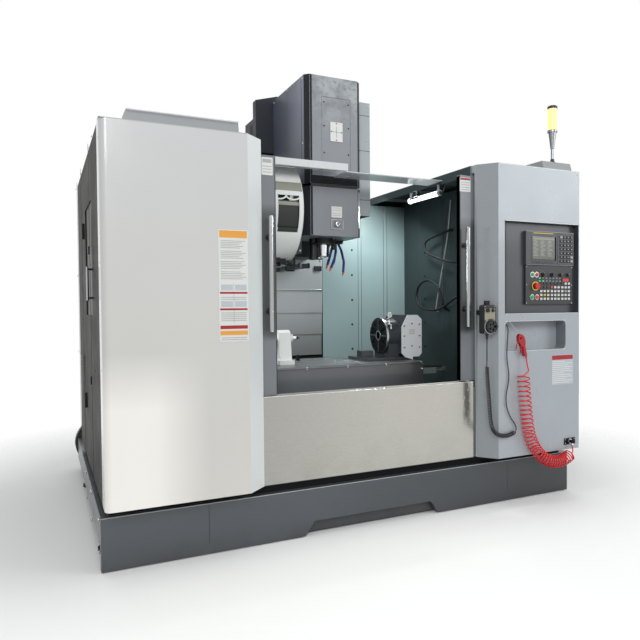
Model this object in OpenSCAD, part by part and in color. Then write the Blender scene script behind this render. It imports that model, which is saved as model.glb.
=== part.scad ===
// Vertical machining centre with twin sliding doors, a disc tool magazine and a rotary unit on its table.
// Sizes are in millimetres. X runs to the right, Y to the back, Z up, and the floor is Z = 0.
// The origin lies on the floor under the middle of the machine.
// Depths, whose names end in _d, count back from the front face of the base.

/* [Base] */
// Width of the base across the front
base_w = 3100; // [3000:10:3300]
// Height of the dark base skirt
base_h = 277; // [240:1:320]
// Depth of the base from its front face to its back
base_depth = 2150; // [2080:10:2300]
// Thickness of the folded skirt sheet
skirt_t = 50; // [30:1:60]
// Width of the notch in the front skirt at the floor
notch_w = 915; // [700:5:1100]
// Height of the notch in the front skirt
notch_h = 86; // [60:1:120]
// How far the side skirts stop above the floor
side_skirt_gap = 126; // [90:1:160]
// Distance from the origin forward to the front face of the base
front_y = 1091; // [1080:1:1100]
// Height of the levelling feet
foot_h = 60; // [50:1:80]

/* [Enclosure] */
// Height of the roof above the floor
roof_z = 2235; // [2180:5:2300]
// Height of the lower edge of the front panels
panel_z = 327; // [300:1:340]
// Thickness of the enclosure sheet panels
sheet_t = 30; // [20:1:40]
// Left end of the left front panel
left_x = -1535; // [-1545:1:-1515]
// Right edge of the left front panel where its chamfer starts
left_panel_x = -803; // [-850:1:-780]
// How far the left front panel stands in front of the base
left_proud = 95; // [70:1:105]
// Corner radius of the left front panel
panel_r = 34; // [20:1:50]
// Left edge of the door opening
open_left = -699; // [-740:1:-680]
// Right edge of the door opening
open_right = 730; // [710:1:745]
// Height of the sill under the doors
sill_z = 824; // [790:1:860]
// Left edge of the right cabinet's front face
cab_x = 845; // [830:1:870]
// Right end of the right cabinet
right_x = 1546; // [1530:1:1549]
// How far the right cabinet stands in front of the base
cab_proud = 113; // [90:1:120]
// Depth of the sides of the enclosure behind the base's front face
side_depth = 1850; // [1780:5:1900]
// Inner face of the left inner wall
inner_left = -1480; // [-1490:5:-1470]
// Inner face of the right inner wall
inner_right = 1075; // [1070:5:1100]
// Distance from the inner back wall back to the column's front face
wall_to_column = 60; // [50:1:70]
// Height of the inner back wall's foot
wall_z = 560; // [540:5:600]

/* [Doors] */
// Height of each door's top edge
door_top = 2165; // [2100:5:2170]
// Thickness of a door
door_t = 34; // [26:1:40]
// Depth of the doors' front face
door_d = 26; // [20:1:34]
// Overlap of a door with the panel beside it when it is shut
door_lap = 30; // [10:1:60]
// How far the left door slides to shut
left_travel = 622; // [560:1:640]
// How far the right door slides to shut
right_travel = 628; // [560:1:640]
// Diameter of the tube of a door handle
handle_tube = 28; // [20:1:32]
// Height of the middle of a door handle
handle_z = 1505; // [1450:5:1560]
// Length of a door handle
handle_len = 630; // [560:5:680]
// How far the handle's middle stands in front of the door
handle_reach = 46; // [40:1:60]

/* [Console] */
// Width of the recess for the console
console_w = 650; // [640:1:651]
// Lower edge of the console recess
console_z = 1264; // [1250:1:1290]
// Height of the console recess
console_h = 608; // [560:1:640]
// Depth of the console recess
console_deep = 45; // [36:1:60]
// Width of the display unit
display_w = 424; // [400:1:440]
// Height of the display unit
display_h = 226; // [210:1:240]
// Height of the operator panel
keys_h = 262; // [240:1:280]
// Width of the pocket under the console
pocket_w = 522; // [480:1:560]
// Height of the pocket under the console
pocket_h = 198; // [180:1:220]
// Depth of the pocket under the console
pocket_deep = 90; // [60:1:120]
// Lower edge of the pocket
pocket_z = 1019; // [1000:1:1030]

/* [Service door] */
// Depth of the service door's front edge on the left side
side_door_d = 430; // [380:5:480]
// Width of the service door
side_door_w = 690; // [640:5:740]
// Lower edge of the service door
side_door_z = 520; // [460:5:560]
// Height of the service door
side_door_h = 1500; // [1440:5:1560]

/* [Table] */
// Length of the table along X
table_l = 1200; // [1100:10:1210]
// Width of the table along Y
table_w = 600; // [560:10:600]
// Thickness of the table
table_t = 62; // [50:1:70]
// Height of the table's top
table_z = 943; // [935:1:950]
// X of the table's middle at rest
table_x = -50; // [-60:1:-30]
// Depth of the table's front edge at rest
table_d = 330; // [325:1:340]
// Width of a T-slot at the table's top
slot_w = 18; // [14:1:22]
// Distance between T-slots
slot_pitch = 110; // [90:1:120]

/* [Head] */
// X of the spindle axis
mill_x = 12; // [0:1:20]
// Depth of the spindle axis
spindle_d = 790; // [785:1:800]
// Width of the head's front covers
head_w = 355; // [340:1:356]
// Depth of the head's front face
head_d = 585; // [580:1:600]
// Top of the head's upper cover
head_top = 2872; // [2800:4:2880]
// Bottom of the head's upper cover
head_split = 2148; // [2120:2:2180]
// Width of the dark bevel at each side of the head's front
head_bevel = 30; // [20:1:32]
// Bottom of the head's lower cover
head_low = 1800; // [1790:2:1820]
// Height of the spindle nose tip at rest
nose_z = 1669; // [1660:1:1690]
// Radius of the chromed spindle nose
nose_r = 44; // [36:1:50]
// Width of the column above its foot
column_w = 560; // [540:5:580]
// Top of the column
column_top = 2680; // [2660:5:2700]
// Top of the motor hood on the column
hood_z = 2914; // [2880:2:2920]
// Depth of the column's front face
column_d = 1500; // [1490:1:1510]
// Lower edge of the lowest telescopic plate
cover_z = 922; // [915:1:930]
// Width of the telescopic plates
cover_w = 546; // [530:1:552]

/* [Tool changer] */
// Radius of the magazine's drum cover
drum_r = 335; // [320:1:340]
// Width of the drum cover along X
drum_w = 400; // [380:1:410]
// X of the drum cover's right face
drum_x = -288; // [-295:1:-286]
// Depth of the drum's axis
drum_d = 740; // [730:1:760]
// Height of the drum's axis
drum_z = 1950; // [1945:1:1960]
// Number of tool pots
pot_count = 24; // [20:1:24]
// Radius of the circle of pots
pot_circle = 270; // [260:1:275]
// Radius of a tool pot
pot_r = 31; // [26:1:33]
// X of the tool arm's shaft
arm_x = -247; // [-248:1:-246]
// Depth of the tool arm's shaft
arm_d = 765; // [755:1:775]
// Height of the arm's top face
arm_z = 1600; // [1590:1:1605]

/* [Rotary unit] */
// Radius of the rotary faceplate
faceplate_r = 125; // [110:1:135]
// Height of the rotary axis above the table
rotary_axis_h = 169; // [160:1:175]
// X of the faceplate's front
faceplate_x = 352; // [345:1:360]
// Width of the rotary unit's gear housing
rotary_box_w = 156; // [140:1:157]
// Depth of the rotary axis
rotary_d = 600; // [590:1:610]

/* [Pendant and air gun] */
// X of the middle of the handwheel pendant
pendant_x = 764; // [760:1:768]
// Height of the pendant's lower end
pendant_z = 1140; // [1130:1:1150]
// Radius of the pendant's handwheel
wheel_r = 40; // [34:1:42]
// Diameter of the curly part of the pendant's cord
curl_dia = 26; // [20:1:28]
// Diameter of the pendant's cord
cord_dia = 7; // [6:1:8]
// Outer diameter of the coiled air hose
hose_coil_dia = 84; // [76:1:88]
// Diameter of the air hose
hose_dia = 8; // [7:1:10]

/* [Hidden] */
$fn = 48;

// Running gap between pieces that slide or turn on each other
run = 0.3;
// Small clearance of a shaft in its bore
fit = 0.1;
half_w = base_w / 2;
base_back = base_depth;

// Bed
bed_half = 430;
bed_rib = 26;
bed_front_d = 230;
bed_back_d = 2060;
bed_top = 520;
way_in = 240;
way_w = 90;
way_top = bed_top + 50;
pedestal_top = 640;
screw_r = 20;

// Saddle and table heights, worked down from the table's top
table_low = table_z - table_t;
x_way_h = 40;
saddle_top = table_low - run;
saddle_low = way_top + run;
saddle_body_top = saddle_top - x_way_h;
saddle_left = -822;
saddle_right = 572;
saddle_front_d = table_d + 70;
saddle_back_d = table_d + table_w - 20;
x_screw_z = saddle_body_top + x_way_h / 2 - 2;
saddle_mid_d = (saddle_front_d + saddle_back_d) / 2;
y_screw_z = bed_top + 20;

// Column and head
way_d = column_d - 38;
z_way_in = 150;
z_way_w = 64;
cover_t = 7;
cover_step = cover_t + run;
cover_back_d = way_d;
casting_back_d = way_d - run;
casting_half = 140;
casting_low = 1700;
plate_h = 196;
low_plate_z = 1093;
mid_plate_z = 1268;
top_plate_z = 1450;
head_half = head_w / 2 + head_bevel;
cover_sheet = 6;
head_back_d = 1235;
shaft_r = 30;
cartridge_r = 74;
shaft_top = 2325;
nose_top = 1760;

// Doors
closed_x = (open_left + open_right) / 2;
rail_h = 5;
hinge_x = left_x - 7.5;
hinge_d = side_door_d + side_door_w + run / 2;
hinge_heights = [side_door_z + 150, side_door_z + side_door_h - 250];
wheel_x = 770;
wheel_z = 1187;
door_low = sill_z + rail_h + run;
rail_end = 1400;
roof_edge = 745;
roof_low = roof_z - 30;
roof_fold = 57;
back_wall_d = column_d - wall_to_column;
wall_t = 6;
side_t = 25;
side_front_d = 45;
plinth_in = 40;
plinth_t = 30;
plinth_inner = plinth_in + plinth_t;
z_motor_z = column_top - 200;
hood_half = 342;
hood_low = column_top - 200;
hood_slope = 166;
z_screw_d = way_d + 19;
trough_r = 85;
left_trough_x = inner_left + trough_r + wall_t;
right_trough_x = inner_right - trough_r - wall_t;
tray_top = wall_z - 20;
trough_z = 230;

// Tool changer
arm_reach = norm([mill_x - arm_x, spindle_d - arm_d]);
arm_t = 26;
drum_t = 5;

// Places of the console's controls and of the signal lamp
display_x = 1090;
display_z = 1588;
stop_x = 1178;
stop_z = 1448;
green_x = 1152;
red_x = 1189;
mode_x = 1238;
feed_x = 1316;
knob_z = 1524;
panel_face = -cab_proud + console_deep - 18;
lamp_x = 1418;
lamp_d = 10;

// Pendant, air gun and their routes, as X, depth behind the base's front, and height
pendant_w = 92;
pendant_h = 184;
pendant_back = 78;
pendant_front = 128;
gun_x = 992;
gun_z = 1124;
gun_d = 140;
trigger_x = 14;
trigger_z = -68;
coupling_x = 1457;
coupling_z = 383;
pendant_cord_top = [[762, -102, 1104], [757, -107, 1040], [755, -110, 980], [755, -110, 930]];
pendant_curl = [
    [755, -110, 930], [757, -111, 870], [762, -112, 800], [766, -114, 740], [770, -115, 680],
    [774, -117, 620], [779, -120, 566], [790, -123, 528], [808, -126, 503], [840, -129, 485],
    [880, -129, 477], [925, -129, 480], [960, -129, 491]];
pendant_cord_back = [
    [960, -129, 491], [974, -128, 502], [978, -127, 522], [966, -126, 550], [946, -125, 574],
    [930, -124, 600], [912, -124, 636], [901, -123, 676], [899, -122, 726], [905, -122, 766],
    [915, -122, 806], [922, -122, 865], [914, -122, 925], [906, -122, 985], [908, -122, 1060],
    [914, -122, 1130], [916, -120, 1172], [917, -108, 1192], [917, -80, 1200], [917, -50, 1200],
    [917, -23, 1200]];
air_hose_top = [
    [1044, -148, 978], [1047, -151, 950], [1051, -155, 915], [1054, -158, 890], [1054, -158, 870.4]];
air_hose_coil = [
    [1014, -158, 867], [1018, -158, 800], [1024, -158, 730], [1031, -158, 660], [1040, -158, 590],
    [1050, -158, 525], [1066, -158, 465], [1092, -158, 408], [1132, -158, 352], [1184, -158, 306],
    [1240, -158, 278], [1300, -158, 268], [1360, -158, 275], [1416, -158, 298]];
air_hose_tail = [
    [1419, -158, 299], [1440, -156, 304], [1455, -149, 320], [1458, -142, 340], [1457, -141, 355]];

module from_front() {
    translate([0, -front_y, 0]) children();
}

module box(x0, x1, d0, d1, z0, z1) {
    translate([x0, d0, z0]) cube([x1 - x0, d1 - d0, z1 - z0]);
}

module rod_x(x0, x1, r, d, z) {
    translate([x0, d, z]) rotate([0, 90, 0]) cylinder(h = x1 - x0, r = r);
}

module rod_y(d0, d1, r, x, z) {
    translate([x, d0, z]) rotate([-90, 0, 0]) cylinder(h = d1 - d0, r = r);
}

module rod_z(z0, z1, r, x, d) {
    translate([x, d, z0]) cylinder(h = z1 - z0, r = r);
}

// A round bar between two points
module rod(a, b, r) {
    v = b - a;
    translate(a) rotate([0, acos(v.z / norm(v)), atan2(v.y, v.x)]) cylinder(h = norm(v), r = r);
}

// An outline in the XZ plane, given from d0 back to d1
module along_y(d0, d1) {
    translate([0, d1, 0]) rotate([90, 0, 0]) linear_extrude(d1 - d0) children();
}

// An outline whose first axis is depth and second is height, given from x0 to x1
module along_x(x0, x1) {
    translate([x0, 0, 0]) rotate([90, 0, 90]) linear_extrude(x1 - x0) children();
}

// A rectangle with rounded corners, from its lower left corner
module soft_rect(w, h, r) {
    translate([r, 0]) square([w - 2 * r, h]);
    translate([0, r]) square([w, h - 2 * r]);
    for (x = [r, w - r], y = [r, h - r]) translate([x, y]) circle(r);
}

// A closed tube swept along a list of points, with rings square to the route
function unit(v) = v / norm(v);
function tangent(p, i) = unit(p[min(i + 1, len(p) - 1)] - p[max(i - 1, 0)]);
function ring(p, i, r, n) =
    let (t = tangent(p, i), side = unit(cross(t, [0.13, 0.97, 0.21])), up = cross(side, t))
    [for (k = [0:n - 1]) p[i] + r * (cos(360 * k / n) * side + sin(360 * k / n) * up)];

module swept_tube(p, r, n) {
    rings = len(p);
    points = [for (i = [0:rings - 1]) each ring(p, i, r, n)];
    sides = [for (i = [0:rings - 2], k = [0:n - 1])
        [i * n + k, i * n + (k + 1) % n, (i + 1) * n + (k + 1) % n, (i + 1) * n + k]];
    ends = [[for (k = [n - 1:-1:0]) k], [for (k = [0:n - 1]) (rings - 1) * n + k]];
    polyhedron(points, concat(sides, ends), convexity = 6);
}

// The two blocks that hold the Y screw
module bearing_blocks() {
    for (d = [bed_front_d, way_d - 126])
        box(mill_x - 60, mill_x + 60, d, d + 36, bed_top - 131, y_screw_z + 27);
}

// The cast bed with its two box ways, its column pedestal and its feet pads
module bed() {
    color("#4d5256") from_front() difference() {
        union() {
            along_x(-bed_half, bed_half) polygon([
                [bed_front_d, foot_h + 60], [bed_front_d, bed_top], [bed_back_d, bed_top],
                [bed_back_d, foot_h], [bed_front_d + 60, foot_h]]);
            box(-bed_half, bed_half, way_d, bed_back_d, bed_top, pedestal_top);
            bearing_blocks();
            for (s = [-1, 1]) {
                x0 = s > 0 ? way_in : -way_in - way_w;
                box(x0, x0 + way_w, bed_front_d, way_d - 40, bed_top, way_top);
                for (d = [bed_front_d + 90, 1130, bed_back_d - 90]) {
                    x1 = s > 0 ? bed_half : -bed_half - 90;
                    box(x1, x1 + 90, d - 70, d + 70, foot_h, foot_h + 50);
                }
                for (d = [bed_front_d + 300 : 260 : bed_back_d - 200]) {
                    x2 = s > 0 ? bed_half : -bed_half - bed_rib;
                    box(x2, x2 + bed_rib, d - 12, d + 12, foot_h + 40, bed_top - 60);
                }
            }
        }
        difference() {
            box(-way_in + 50, way_in - 50, bed_front_d - 1, way_d - 90, bed_top - 130, bed_top + 1);
            bearing_blocks();
        }
        rod_y(bed_front_d - 1, way_d - 80, screw_r - 4 + fit, mill_x, y_screw_z);
        for (d = [bed_front_d + 240 : 420 : bed_back_d - 260])
            box(-bed_half + 60, bed_half - 60, d, d + 300, foot_h - 1, bed_top - 190);
    }
}

// A levelling foot: a floor pad, a screw and its locknut under the pad it carries
module leveling_foot(x, d, top) {
    rod_z(0, 18, 62, x, d);
    rod_z(18, 30, 34, x, d);
    rod_z(30, top, 14, x, d);
    translate([x, d, top - 22]) cylinder(h = 16, r = 26, $fn = 6);
}

module leveling_feet() {
    color("#202225") from_front() {
        for (s = [-1, 1]) {
            for (d = [bed_front_d + 90, 1130, bed_back_d - 90])
                leveling_foot(s * (bed_half + 48), d, foot_h);
            for (d = [330, 1700]) leveling_foot(s * (half_w - 70), d, side_skirt_gap);
        }
    }
}

// The folded dark skirt around the base, with its floor notch and the black plinth above
module base_skirts() {
    slope = 60;
    color("#474b4f") from_front() {
        difference() {
            box(-half_w, half_w, 0, skirt_t, 6, base_h);
            along_y(-1, skirt_t + 1) polygon([
                [-notch_w / 2, 5], [-notch_w / 2 + slope, notch_h], [notch_w / 2 - slope, notch_h],
                [notch_w / 2, 5]]);
        }
        for (s = [-1, 1]) {
            x0 = s > 0 ? half_w - sheet_t : -half_w;
            box(x0, x0 + sheet_t, skirt_t, base_back, side_skirt_gap, base_h);
            x1 = s > 0 ? half_w - 120 : -half_w + sheet_t;
            box(x1, x1 + 90, skirt_t, base_back - sheet_t, side_skirt_gap, side_skirt_gap + 8);
        }
        box(-half_w + sheet_t, half_w - sheet_t, base_back - sheet_t, base_back, side_skirt_gap, base_h);
        difference() {
            box(-half_w + plinth_in, half_w - plinth_in, plinth_in, side_depth, base_h, panel_z);
            box(-half_w + plinth_inner, half_w - plinth_inner, plinth_inner, side_depth - plinth_t,
                base_h - 1, panel_z + 1);
            box(-bed_half - bed_rib - run, bed_half + bed_rib + run, side_depth - plinth_t - 1,
                side_depth + 1, base_h - 1, panel_z + 1);
        }
        for (s = [-1, 1]) {
            x0 = s > 0 ? half_w - plinth_inner : -half_w + sheet_t;
            box(x0, x0 + plinth_inner - sheet_t, skirt_t, base_back - sheet_t, base_h - 8, base_h);
        }
        box(-half_w + plinth_in, half_w - plinth_in, skirt_t, plinth_inner, base_h - 8, base_h);
    }
}

// The cast column, with a flared foot, two vertical box ways and ribbed side windows
module column() {
    foot = 150;
    color("#2f3337") from_front() difference() {
        union() {
            along_y(column_d, bed_back_d - 20) polygon([
                [mill_x - column_w / 2 - foot, pedestal_top], [mill_x + column_w / 2 + foot, pedestal_top],
                [mill_x + column_w / 2 + foot, pedestal_top + 260], [mill_x + column_w / 2, 1400],
                [mill_x + column_w / 2, column_top - 50], [mill_x + column_w / 2 - 50, column_top],
                [mill_x - column_w / 2 + 50, column_top], [mill_x - column_w / 2, column_top - 50],
                [mill_x - column_w / 2, 1400], [mill_x - column_w / 2 - foot, pedestal_top + 260]]);
            for (s = [-1, 1]) {
                x0 = s > 0 ? mill_x + z_way_in : mill_x - z_way_in - z_way_w;
                box(x0, x0 + z_way_w, way_d, column_d, cover_z, column_top - 90);
            }
        }
        for (z = [1180 : 420 : column_top - 620])
            box(mill_x - column_w, mill_x + column_w, column_d + 150, bed_back_d - 170, z, z + 300);
        box(mill_x - 160, mill_x + 160, column_d + 90, bed_back_d + 1, pedestal_top + 200, column_top - 320);
        box(mill_x - 66, mill_x + 66, column_d - 1, column_d + 60, z_motor_z, column_top + 1);
    }
    color("#2f3337") from_front() motor_hood();
}

// The outline of the motor hood's front flange, with its two cut corners
module hood_outline(inset) {
    half = hood_half - inset;
    translate([mill_x, 0]) polygon([
        [-half, hood_low - (inset > 0 ? 1 : 0)], [half, hood_low - (inset > 0 ? 1 : 0)],
        [half, hood_z - 47 - inset], [half - hood_slope, hood_z - inset],
        [hood_slope - half, hood_z - inset], [-half, hood_z - 47 - inset]]);
}

// The sheet hood over the Z motor on the column's top, with a wide flange behind the head
module motor_hood() {
    d0 = head_back_d + 5;
    flange = 70;
    difference() {
        union() {
            along_y(d0, d0 + flange) hood_outline(0);
            box(mill_x - 200, mill_x + 200, d0 + flange, bed_back_d - 80, column_top + run, hood_z - 34);
        }
        along_y(d0 + 4, d0 + flange - 4) hood_outline(4);
        box(mill_x - 196, mill_x + 196, d0 + 6, bed_back_d - 84, column_top, hood_z - 38);
    }
}

// The motors of the Y and Z axes: finned square bodies with round connectors and shaft noses
module servo(size, len) {
    for (k = [0:4]) translate([-size / 2, -size / 2, k * len / 5]) cube([size, size, len / 5 - 5]);
    cylinder(h = len, r = size / 2 - 6);
    translate([size / 2 - 12, 0, len * 0.75]) rotate([0, 90, 0]) cylinder(h = 44, r = 18);
}

module servo_motors() {
    color("#1d1f21") from_front() {
        translate([mill_x, z_screw_d, z_motor_z]) servo(116, 235);
        translate([mill_x, bed_front_d - 145, y_screw_z]) rotate([-90, 0, 0]) servo(116, 145);
    }
}

// The coolant tank that slides in under the front of the bed
module coolant_tank() {
    tank_half = notch_w / 2 + 190;
    color("#3f4347") from_front() difference() {
        along_y(skirt_t + run, bed_front_d - 12) polygon([
            [-tank_half, 40], [-tank_half + 30, 10], [tank_half - 30, 10], [tank_half, 40],
            [tank_half, base_h - 14], [-tank_half, base_h - 14]]);
        box(-tank_half + 8, tank_half - 8, skirt_t + 8, bed_front_d - 20, 18, base_h - 13);
    }
}

// The sloped chip pans on both sides of the bed, each with a round auger trough
module chip_pan(x_bed, x_trough, s) {
    difference() {
        union() {
            along_y(plinth_inner + run, side_depth - plinth_t - run) polygon([
                [x_bed, tray_top], [x_bed, tray_top - wall_t],
                [x_trough - s * trough_r, trough_z], [x_trough - s * trough_r, trough_z + wall_t + 6]]);
            rod_y(skirt_t + run, base_back - sheet_t - run, trough_r + wall_t, x_trough, trough_z);
        }
        rod_y(plinth_in - 1, base_back, trough_r, x_trough, trough_z);
        box(x_trough - trough_r - wall_t - 1, x_trough + trough_r + wall_t + 1, 0, base_back + 1,
            trough_z, trough_z + trough_r + wall_t + 1);
    }
    x_out = x_trough + s * trough_r;
    box(min(x_out, x_out + s * wall_t), max(x_out, x_out + s * wall_t), plinth_inner + run,
        side_depth - plinth_t - run, trough_z, wall_z);
}

module chip_tray() {
    color("#7d8b8c") from_front() {
        chip_pan(-bed_half - bed_rib - run, left_trough_x, -1);
        chip_pan(bed_half + bed_rib + run, right_trough_x, 1);
    }
}

// The brushed front panel under the doors, with the beam and the lower rail that carry them
module front_panel() {
    color("#b8b8b2") from_front() {
        box(open_left, open_right, 0, 3, panel_z, sill_z);
        box(open_left, open_right, 3, plinth_inner - run, sill_z - 34, sill_z);
        for (x = [open_left + 6, open_right - 60])
            box(x, x + 54, 3, plinth_inner - run, panel_z, sill_z - 34);
        box(-rail_end, open_left, door_d + 2, plinth_inner - run, sill_z - 34, sill_z);
        box(open_right, rail_end, door_d + 2, plinth_inner - run, sill_z - 34, sill_z);
        box(-rail_end, rail_end, door_d + 12, door_d + 22, sill_z, sill_z + rail_h);
    }
}

// The outline of the left front panel in plan: its front, chamfer and rounded left corner
module left_guard_plan(inset) {
    r = panel_r - inset;
    translate([left_x + panel_r, -left_proud + panel_r]) circle(r);
    polygon([
        [left_x + inset, -left_proud + panel_r], [left_x + panel_r, -left_proud + panel_r],
        [left_x + panel_r, -left_proud + inset], [left_panel_x - 0.4 * inset, -left_proud + inset],
        [open_left - inset, 0], [open_left - inset, side_front_d], [left_x + inset, side_front_d]]);
}

// The smooth light panel in front of the machine's left side
module left_guard() {
    wall = 4;
    depth = side_front_d + left_proud;
    color("#dcdbd6") from_front() {
        difference() {
            translate([0, 0, panel_z]) linear_extrude(roof_z + 4 - panel_z) left_guard_plan(0);
            translate([0, 0, panel_z + wall]) linear_extrude(roof_z - panel_z - wall) left_guard_plan(wall);
            box(left_x + wall, open_left - wall, door_d - 8, side_front_d + 1, panel_z + wall, roof_z);
            box(open_left - wall - 1, open_left + 1, door_d - 8, side_front_d + 1, sill_z - 40, roof_z);
        }
        box(left_x + 40, open_left - 4, side_front_d, plinth_inner, panel_z, panel_z + wall);
    }
}

// The dark left side sheet, with an opening for its service door, and its rear return
module left_side_panel() {
    color("#3d403c") from_front() {
        difference() {
            box(left_x, left_x + side_t, side_front_d, side_depth, panel_z, roof_z);
            box(left_x - 1, left_x + side_t + 1, side_door_d - run, side_door_d + side_door_w + run,
                side_door_z - run, side_door_z + side_door_h + run);
        }
        box(left_x + side_t, -column_w, side_depth - side_t, side_depth, panel_z, roof_low);
        for (z = hinge_heights) {
            hinge_barrel(z, z + 50, 0);
            rod_z(z + 50, z + 96, 4, hinge_x, hinge_d);
        }
    }
}

// The dark right side sheet and its rear return
module right_side_panel() {
    color("#3d403c") from_front() {
        difference() {
            box(right_x - side_t, right_x, side_front_d, side_depth, panel_z, roof_z);
            for (z = [1500 : 40 : 1860])
                box(right_x - side_t - 1, right_x + 1, 1000, 1360, z, z + 14);
        }
        box(column_w, right_x - side_t, side_depth - side_t, side_depth, panel_z, roof_low);
    }
}

// The light right cabinet with its chamfer, console recess, small pocket, air coupling and hooks
module right_cabinet() {
    recess_x = right_x - console_w;
    pocket_x = cab_x + 55;
    back = side_front_d;
    color("#bcc3c8") from_front() {
        difference() {
            translate([0, 0, panel_z]) linear_extrude(roof_z - panel_z) polygon([
                [open_right + 25, 0], [cab_x, -cab_proud], [right_x, -cab_proud], [right_x, back],
                [open_right + 25, back]]);
            translate([0, 0, panel_z - 1]) linear_extrude(console_z - panel_z - 20) difference() {
                polygon([
                    [open_right + 29, 2], [cab_x + 2, -cab_proud + 4], [right_x - 4, -cab_proud + 4],
                    [right_x - 4, back + 1], [open_right + 29, back + 1]]);
                translate([pocket_x - 4, -cab_proud]) square([pocket_w + 8, pocket_deep + 4]);
            }
            box(open_right + 24, 1400, door_d - 8, back + 1, sill_z - 40, door_top + 20);
            along_y(-cab_proud - 1, -cab_proud + pocket_deep) translate([pocket_x, pocket_z])
                soft_rect(pocket_w, pocket_h, 36);
            translate([0, 0, console_z]) linear_extrude(console_h) polygon([
                [recess_x, -cab_proud - 1], [recess_x + 50, -cab_proud + console_deep],
                [right_x - 6, -cab_proud + console_deep], [right_x - 6, -cab_proud - 1]]);
        }
        pendant_holder();
        gun_hook();
        air_coupling();
    }
}

// The bent bracket that the pendant hangs on
module pendant_holder() {
    x0 = pendant_x - 14;
    x1 = pendant_x + 14;
    top = pendant_z + pendant_h;
    box(x0, x1, -pendant_back, -6, pendant_z + 120, pendant_z + 150);
    box(x0, x1, -pendant_back - 12, -pendant_back, top, top + 4);
    box(x0, x1, -pendant_back, -pendant_back + 4, pendant_z + 120, top + 4);
}

// The thin wire that the air gun hangs on
module gun_hook() {
    rod([cab_x + 76, -cab_proud + 2, gun_z + 104], [gun_x, -gun_d, gun_z + 11.4], 2);
}

// The air coupling on its small plate
module air_coupling() {
    box(coupling_x - 50, coupling_x + 50, -cab_proud - 5, -cab_proud, coupling_z - 22, coupling_z + 22);
    rod_y(-cab_proud - 40, -cab_proud - 5, 12, coupling_x, coupling_z);
    rod_z(coupling_z - 28, coupling_z, 8, coupling_x, -cab_proud - 28);
}

// The sheet walls inside the working space: left, right and the two halves behind
module inner_walls() {
    low = wall_z - 40;
    gap = cover_w / 2 + 6;
    color("#8fa5a7") from_front() {
        box(inner_left - wall_t, inner_left, 100, back_wall_d + wall_t, low, roof_low);
        box(inner_right, inner_right + wall_t, 100, back_wall_d + wall_t, low, roof_low);
        for (x = [[inner_left, mill_x - gap], [mill_x + gap, inner_right]])
            box(x[0], x[1], back_wall_d, back_wall_d + wall_t, wall_z + run, roof_z - roof_fold - run);
        // The fixed plate at the foot of the telescopic column cover
        box(mill_x - cover_w / 2, mill_x + cover_w / 2, cover_back_d - cover_t, cover_back_d,
            cover_z, cover_z + plate_h);
        box(mill_x - gap, mill_x + gap, back_wall_d, back_wall_d + wall_t, way_top + run, cover_z - 60);
    }
}

// One side of the roof: a folded tray with a deep inner flange and the doors' upper rail
module roof_side(x_out, x_in, d0, rail_x) {
    x0 = min(x_out, x_in);
    x1 = max(x_out, x_in);
    fx = x_out < x_in ? x_in - 4 : x_in;
    box(x0, x1, d0, side_depth, roof_z - 5, roof_z);
    box(fx, fx + 4, d0, side_depth - side_t, roof_z - roof_fold, roof_z - 5);
    box(x0, x1, side_depth - side_t, side_depth, roof_low, roof_z - 5);
    for (d = [500 : 420 : 1400]) box(x0, x1, d, d + 4, roof_low, roof_z - 5);
    box(min(rail_x, x_in), max(rail_x, x_in), door_d + 22, door_d + 26, door_top + run, roof_z - 5);
}

// The two halves of the roof, each with a low raised hood near its front edge
module roof_panels() {
    color("#cfd2d2") from_front() {
        roof_side(left_x + side_t, -roof_edge, side_front_d, -rail_end);
        roof_side(right_x - side_t, roof_edge, side_front_d, rail_end);
        along_x(-1390, -800) polygon([
            [side_front_d + 20, roof_z + 4], [side_front_d + 40, roof_z + 108],
            [side_front_d + 420, roof_z + 108], [side_front_d + 480, roof_z], [side_front_d + 20, roof_z]]);
        along_x(1265, 1520) polygon([
            [-cab_proud + 40, roof_z], [-cab_proud + 60, roof_z + 62], [180, roof_z + 62], [210, roof_z]]);
    }
}

// The bridge across the open roof: a flanged half on the left and a plain plate on the right
module roof_header() {
    near = 370;
    far = 560;
    color("#c9cccf") from_front() {
        box(-roof_edge, mill_x, near, near + 4, roof_z - 36, roof_z + 12);
        box(-roof_edge, mill_x, near + 4, far, roof_z + 8, roof_z + 12);
        box(-roof_edge, mill_x, far - 4, far, roof_z, roof_z + 8);
        box(mill_x - 110, mill_x, near + 4, far - 4, roof_z, roof_z + 8);
        box(-roof_edge - 50, -roof_edge, near, far, roof_z, roof_z + 12);
        box(mill_x - 14, roof_edge, near, far, roof_z - 42, roof_z - 36);
    }
}

// The dark operator panel under the display, with its fixed keys in raised rows
module operator_panel() {
    x0 = display_x + 4;
    z0 = display_z - keys_h;
    face = panel_face;
    color("#26282b") from_front() difference() {
        union() {
            box(x0, x0 + display_w - 8, face, -cab_proud + console_deep, z0, display_z);
            for (row = [0:4], group = [0:2], k = [0:2])
                translate([x0 + 122 + group * 94 + k * 30, face - 2, z0 + 28 + row * 26])
                    cube([22, 2, 17]);
            for (row = [0:1], k = [0:3])
                translate([x0 + 112 + k * 30, face - 1, z0 + 152 + row * 20]) cube([18, 1, 8]);
            rod_y(face - 3, face, 24, stop_x, stop_z);
            rod_y(face - 2, face, 15, green_x, knob_z);
            rod_y(face - 2, face, 15, red_x, knob_z);
        }
        rod_y(face - 4, face + 10, 11 + fit, stop_x, stop_z);
        rod_y(face - 4, face + 8, 12 + fit, green_x, knob_z);
        rod_y(face - 4, face + 8, 12 + fit, red_x, knob_z);
    }
}

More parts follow.
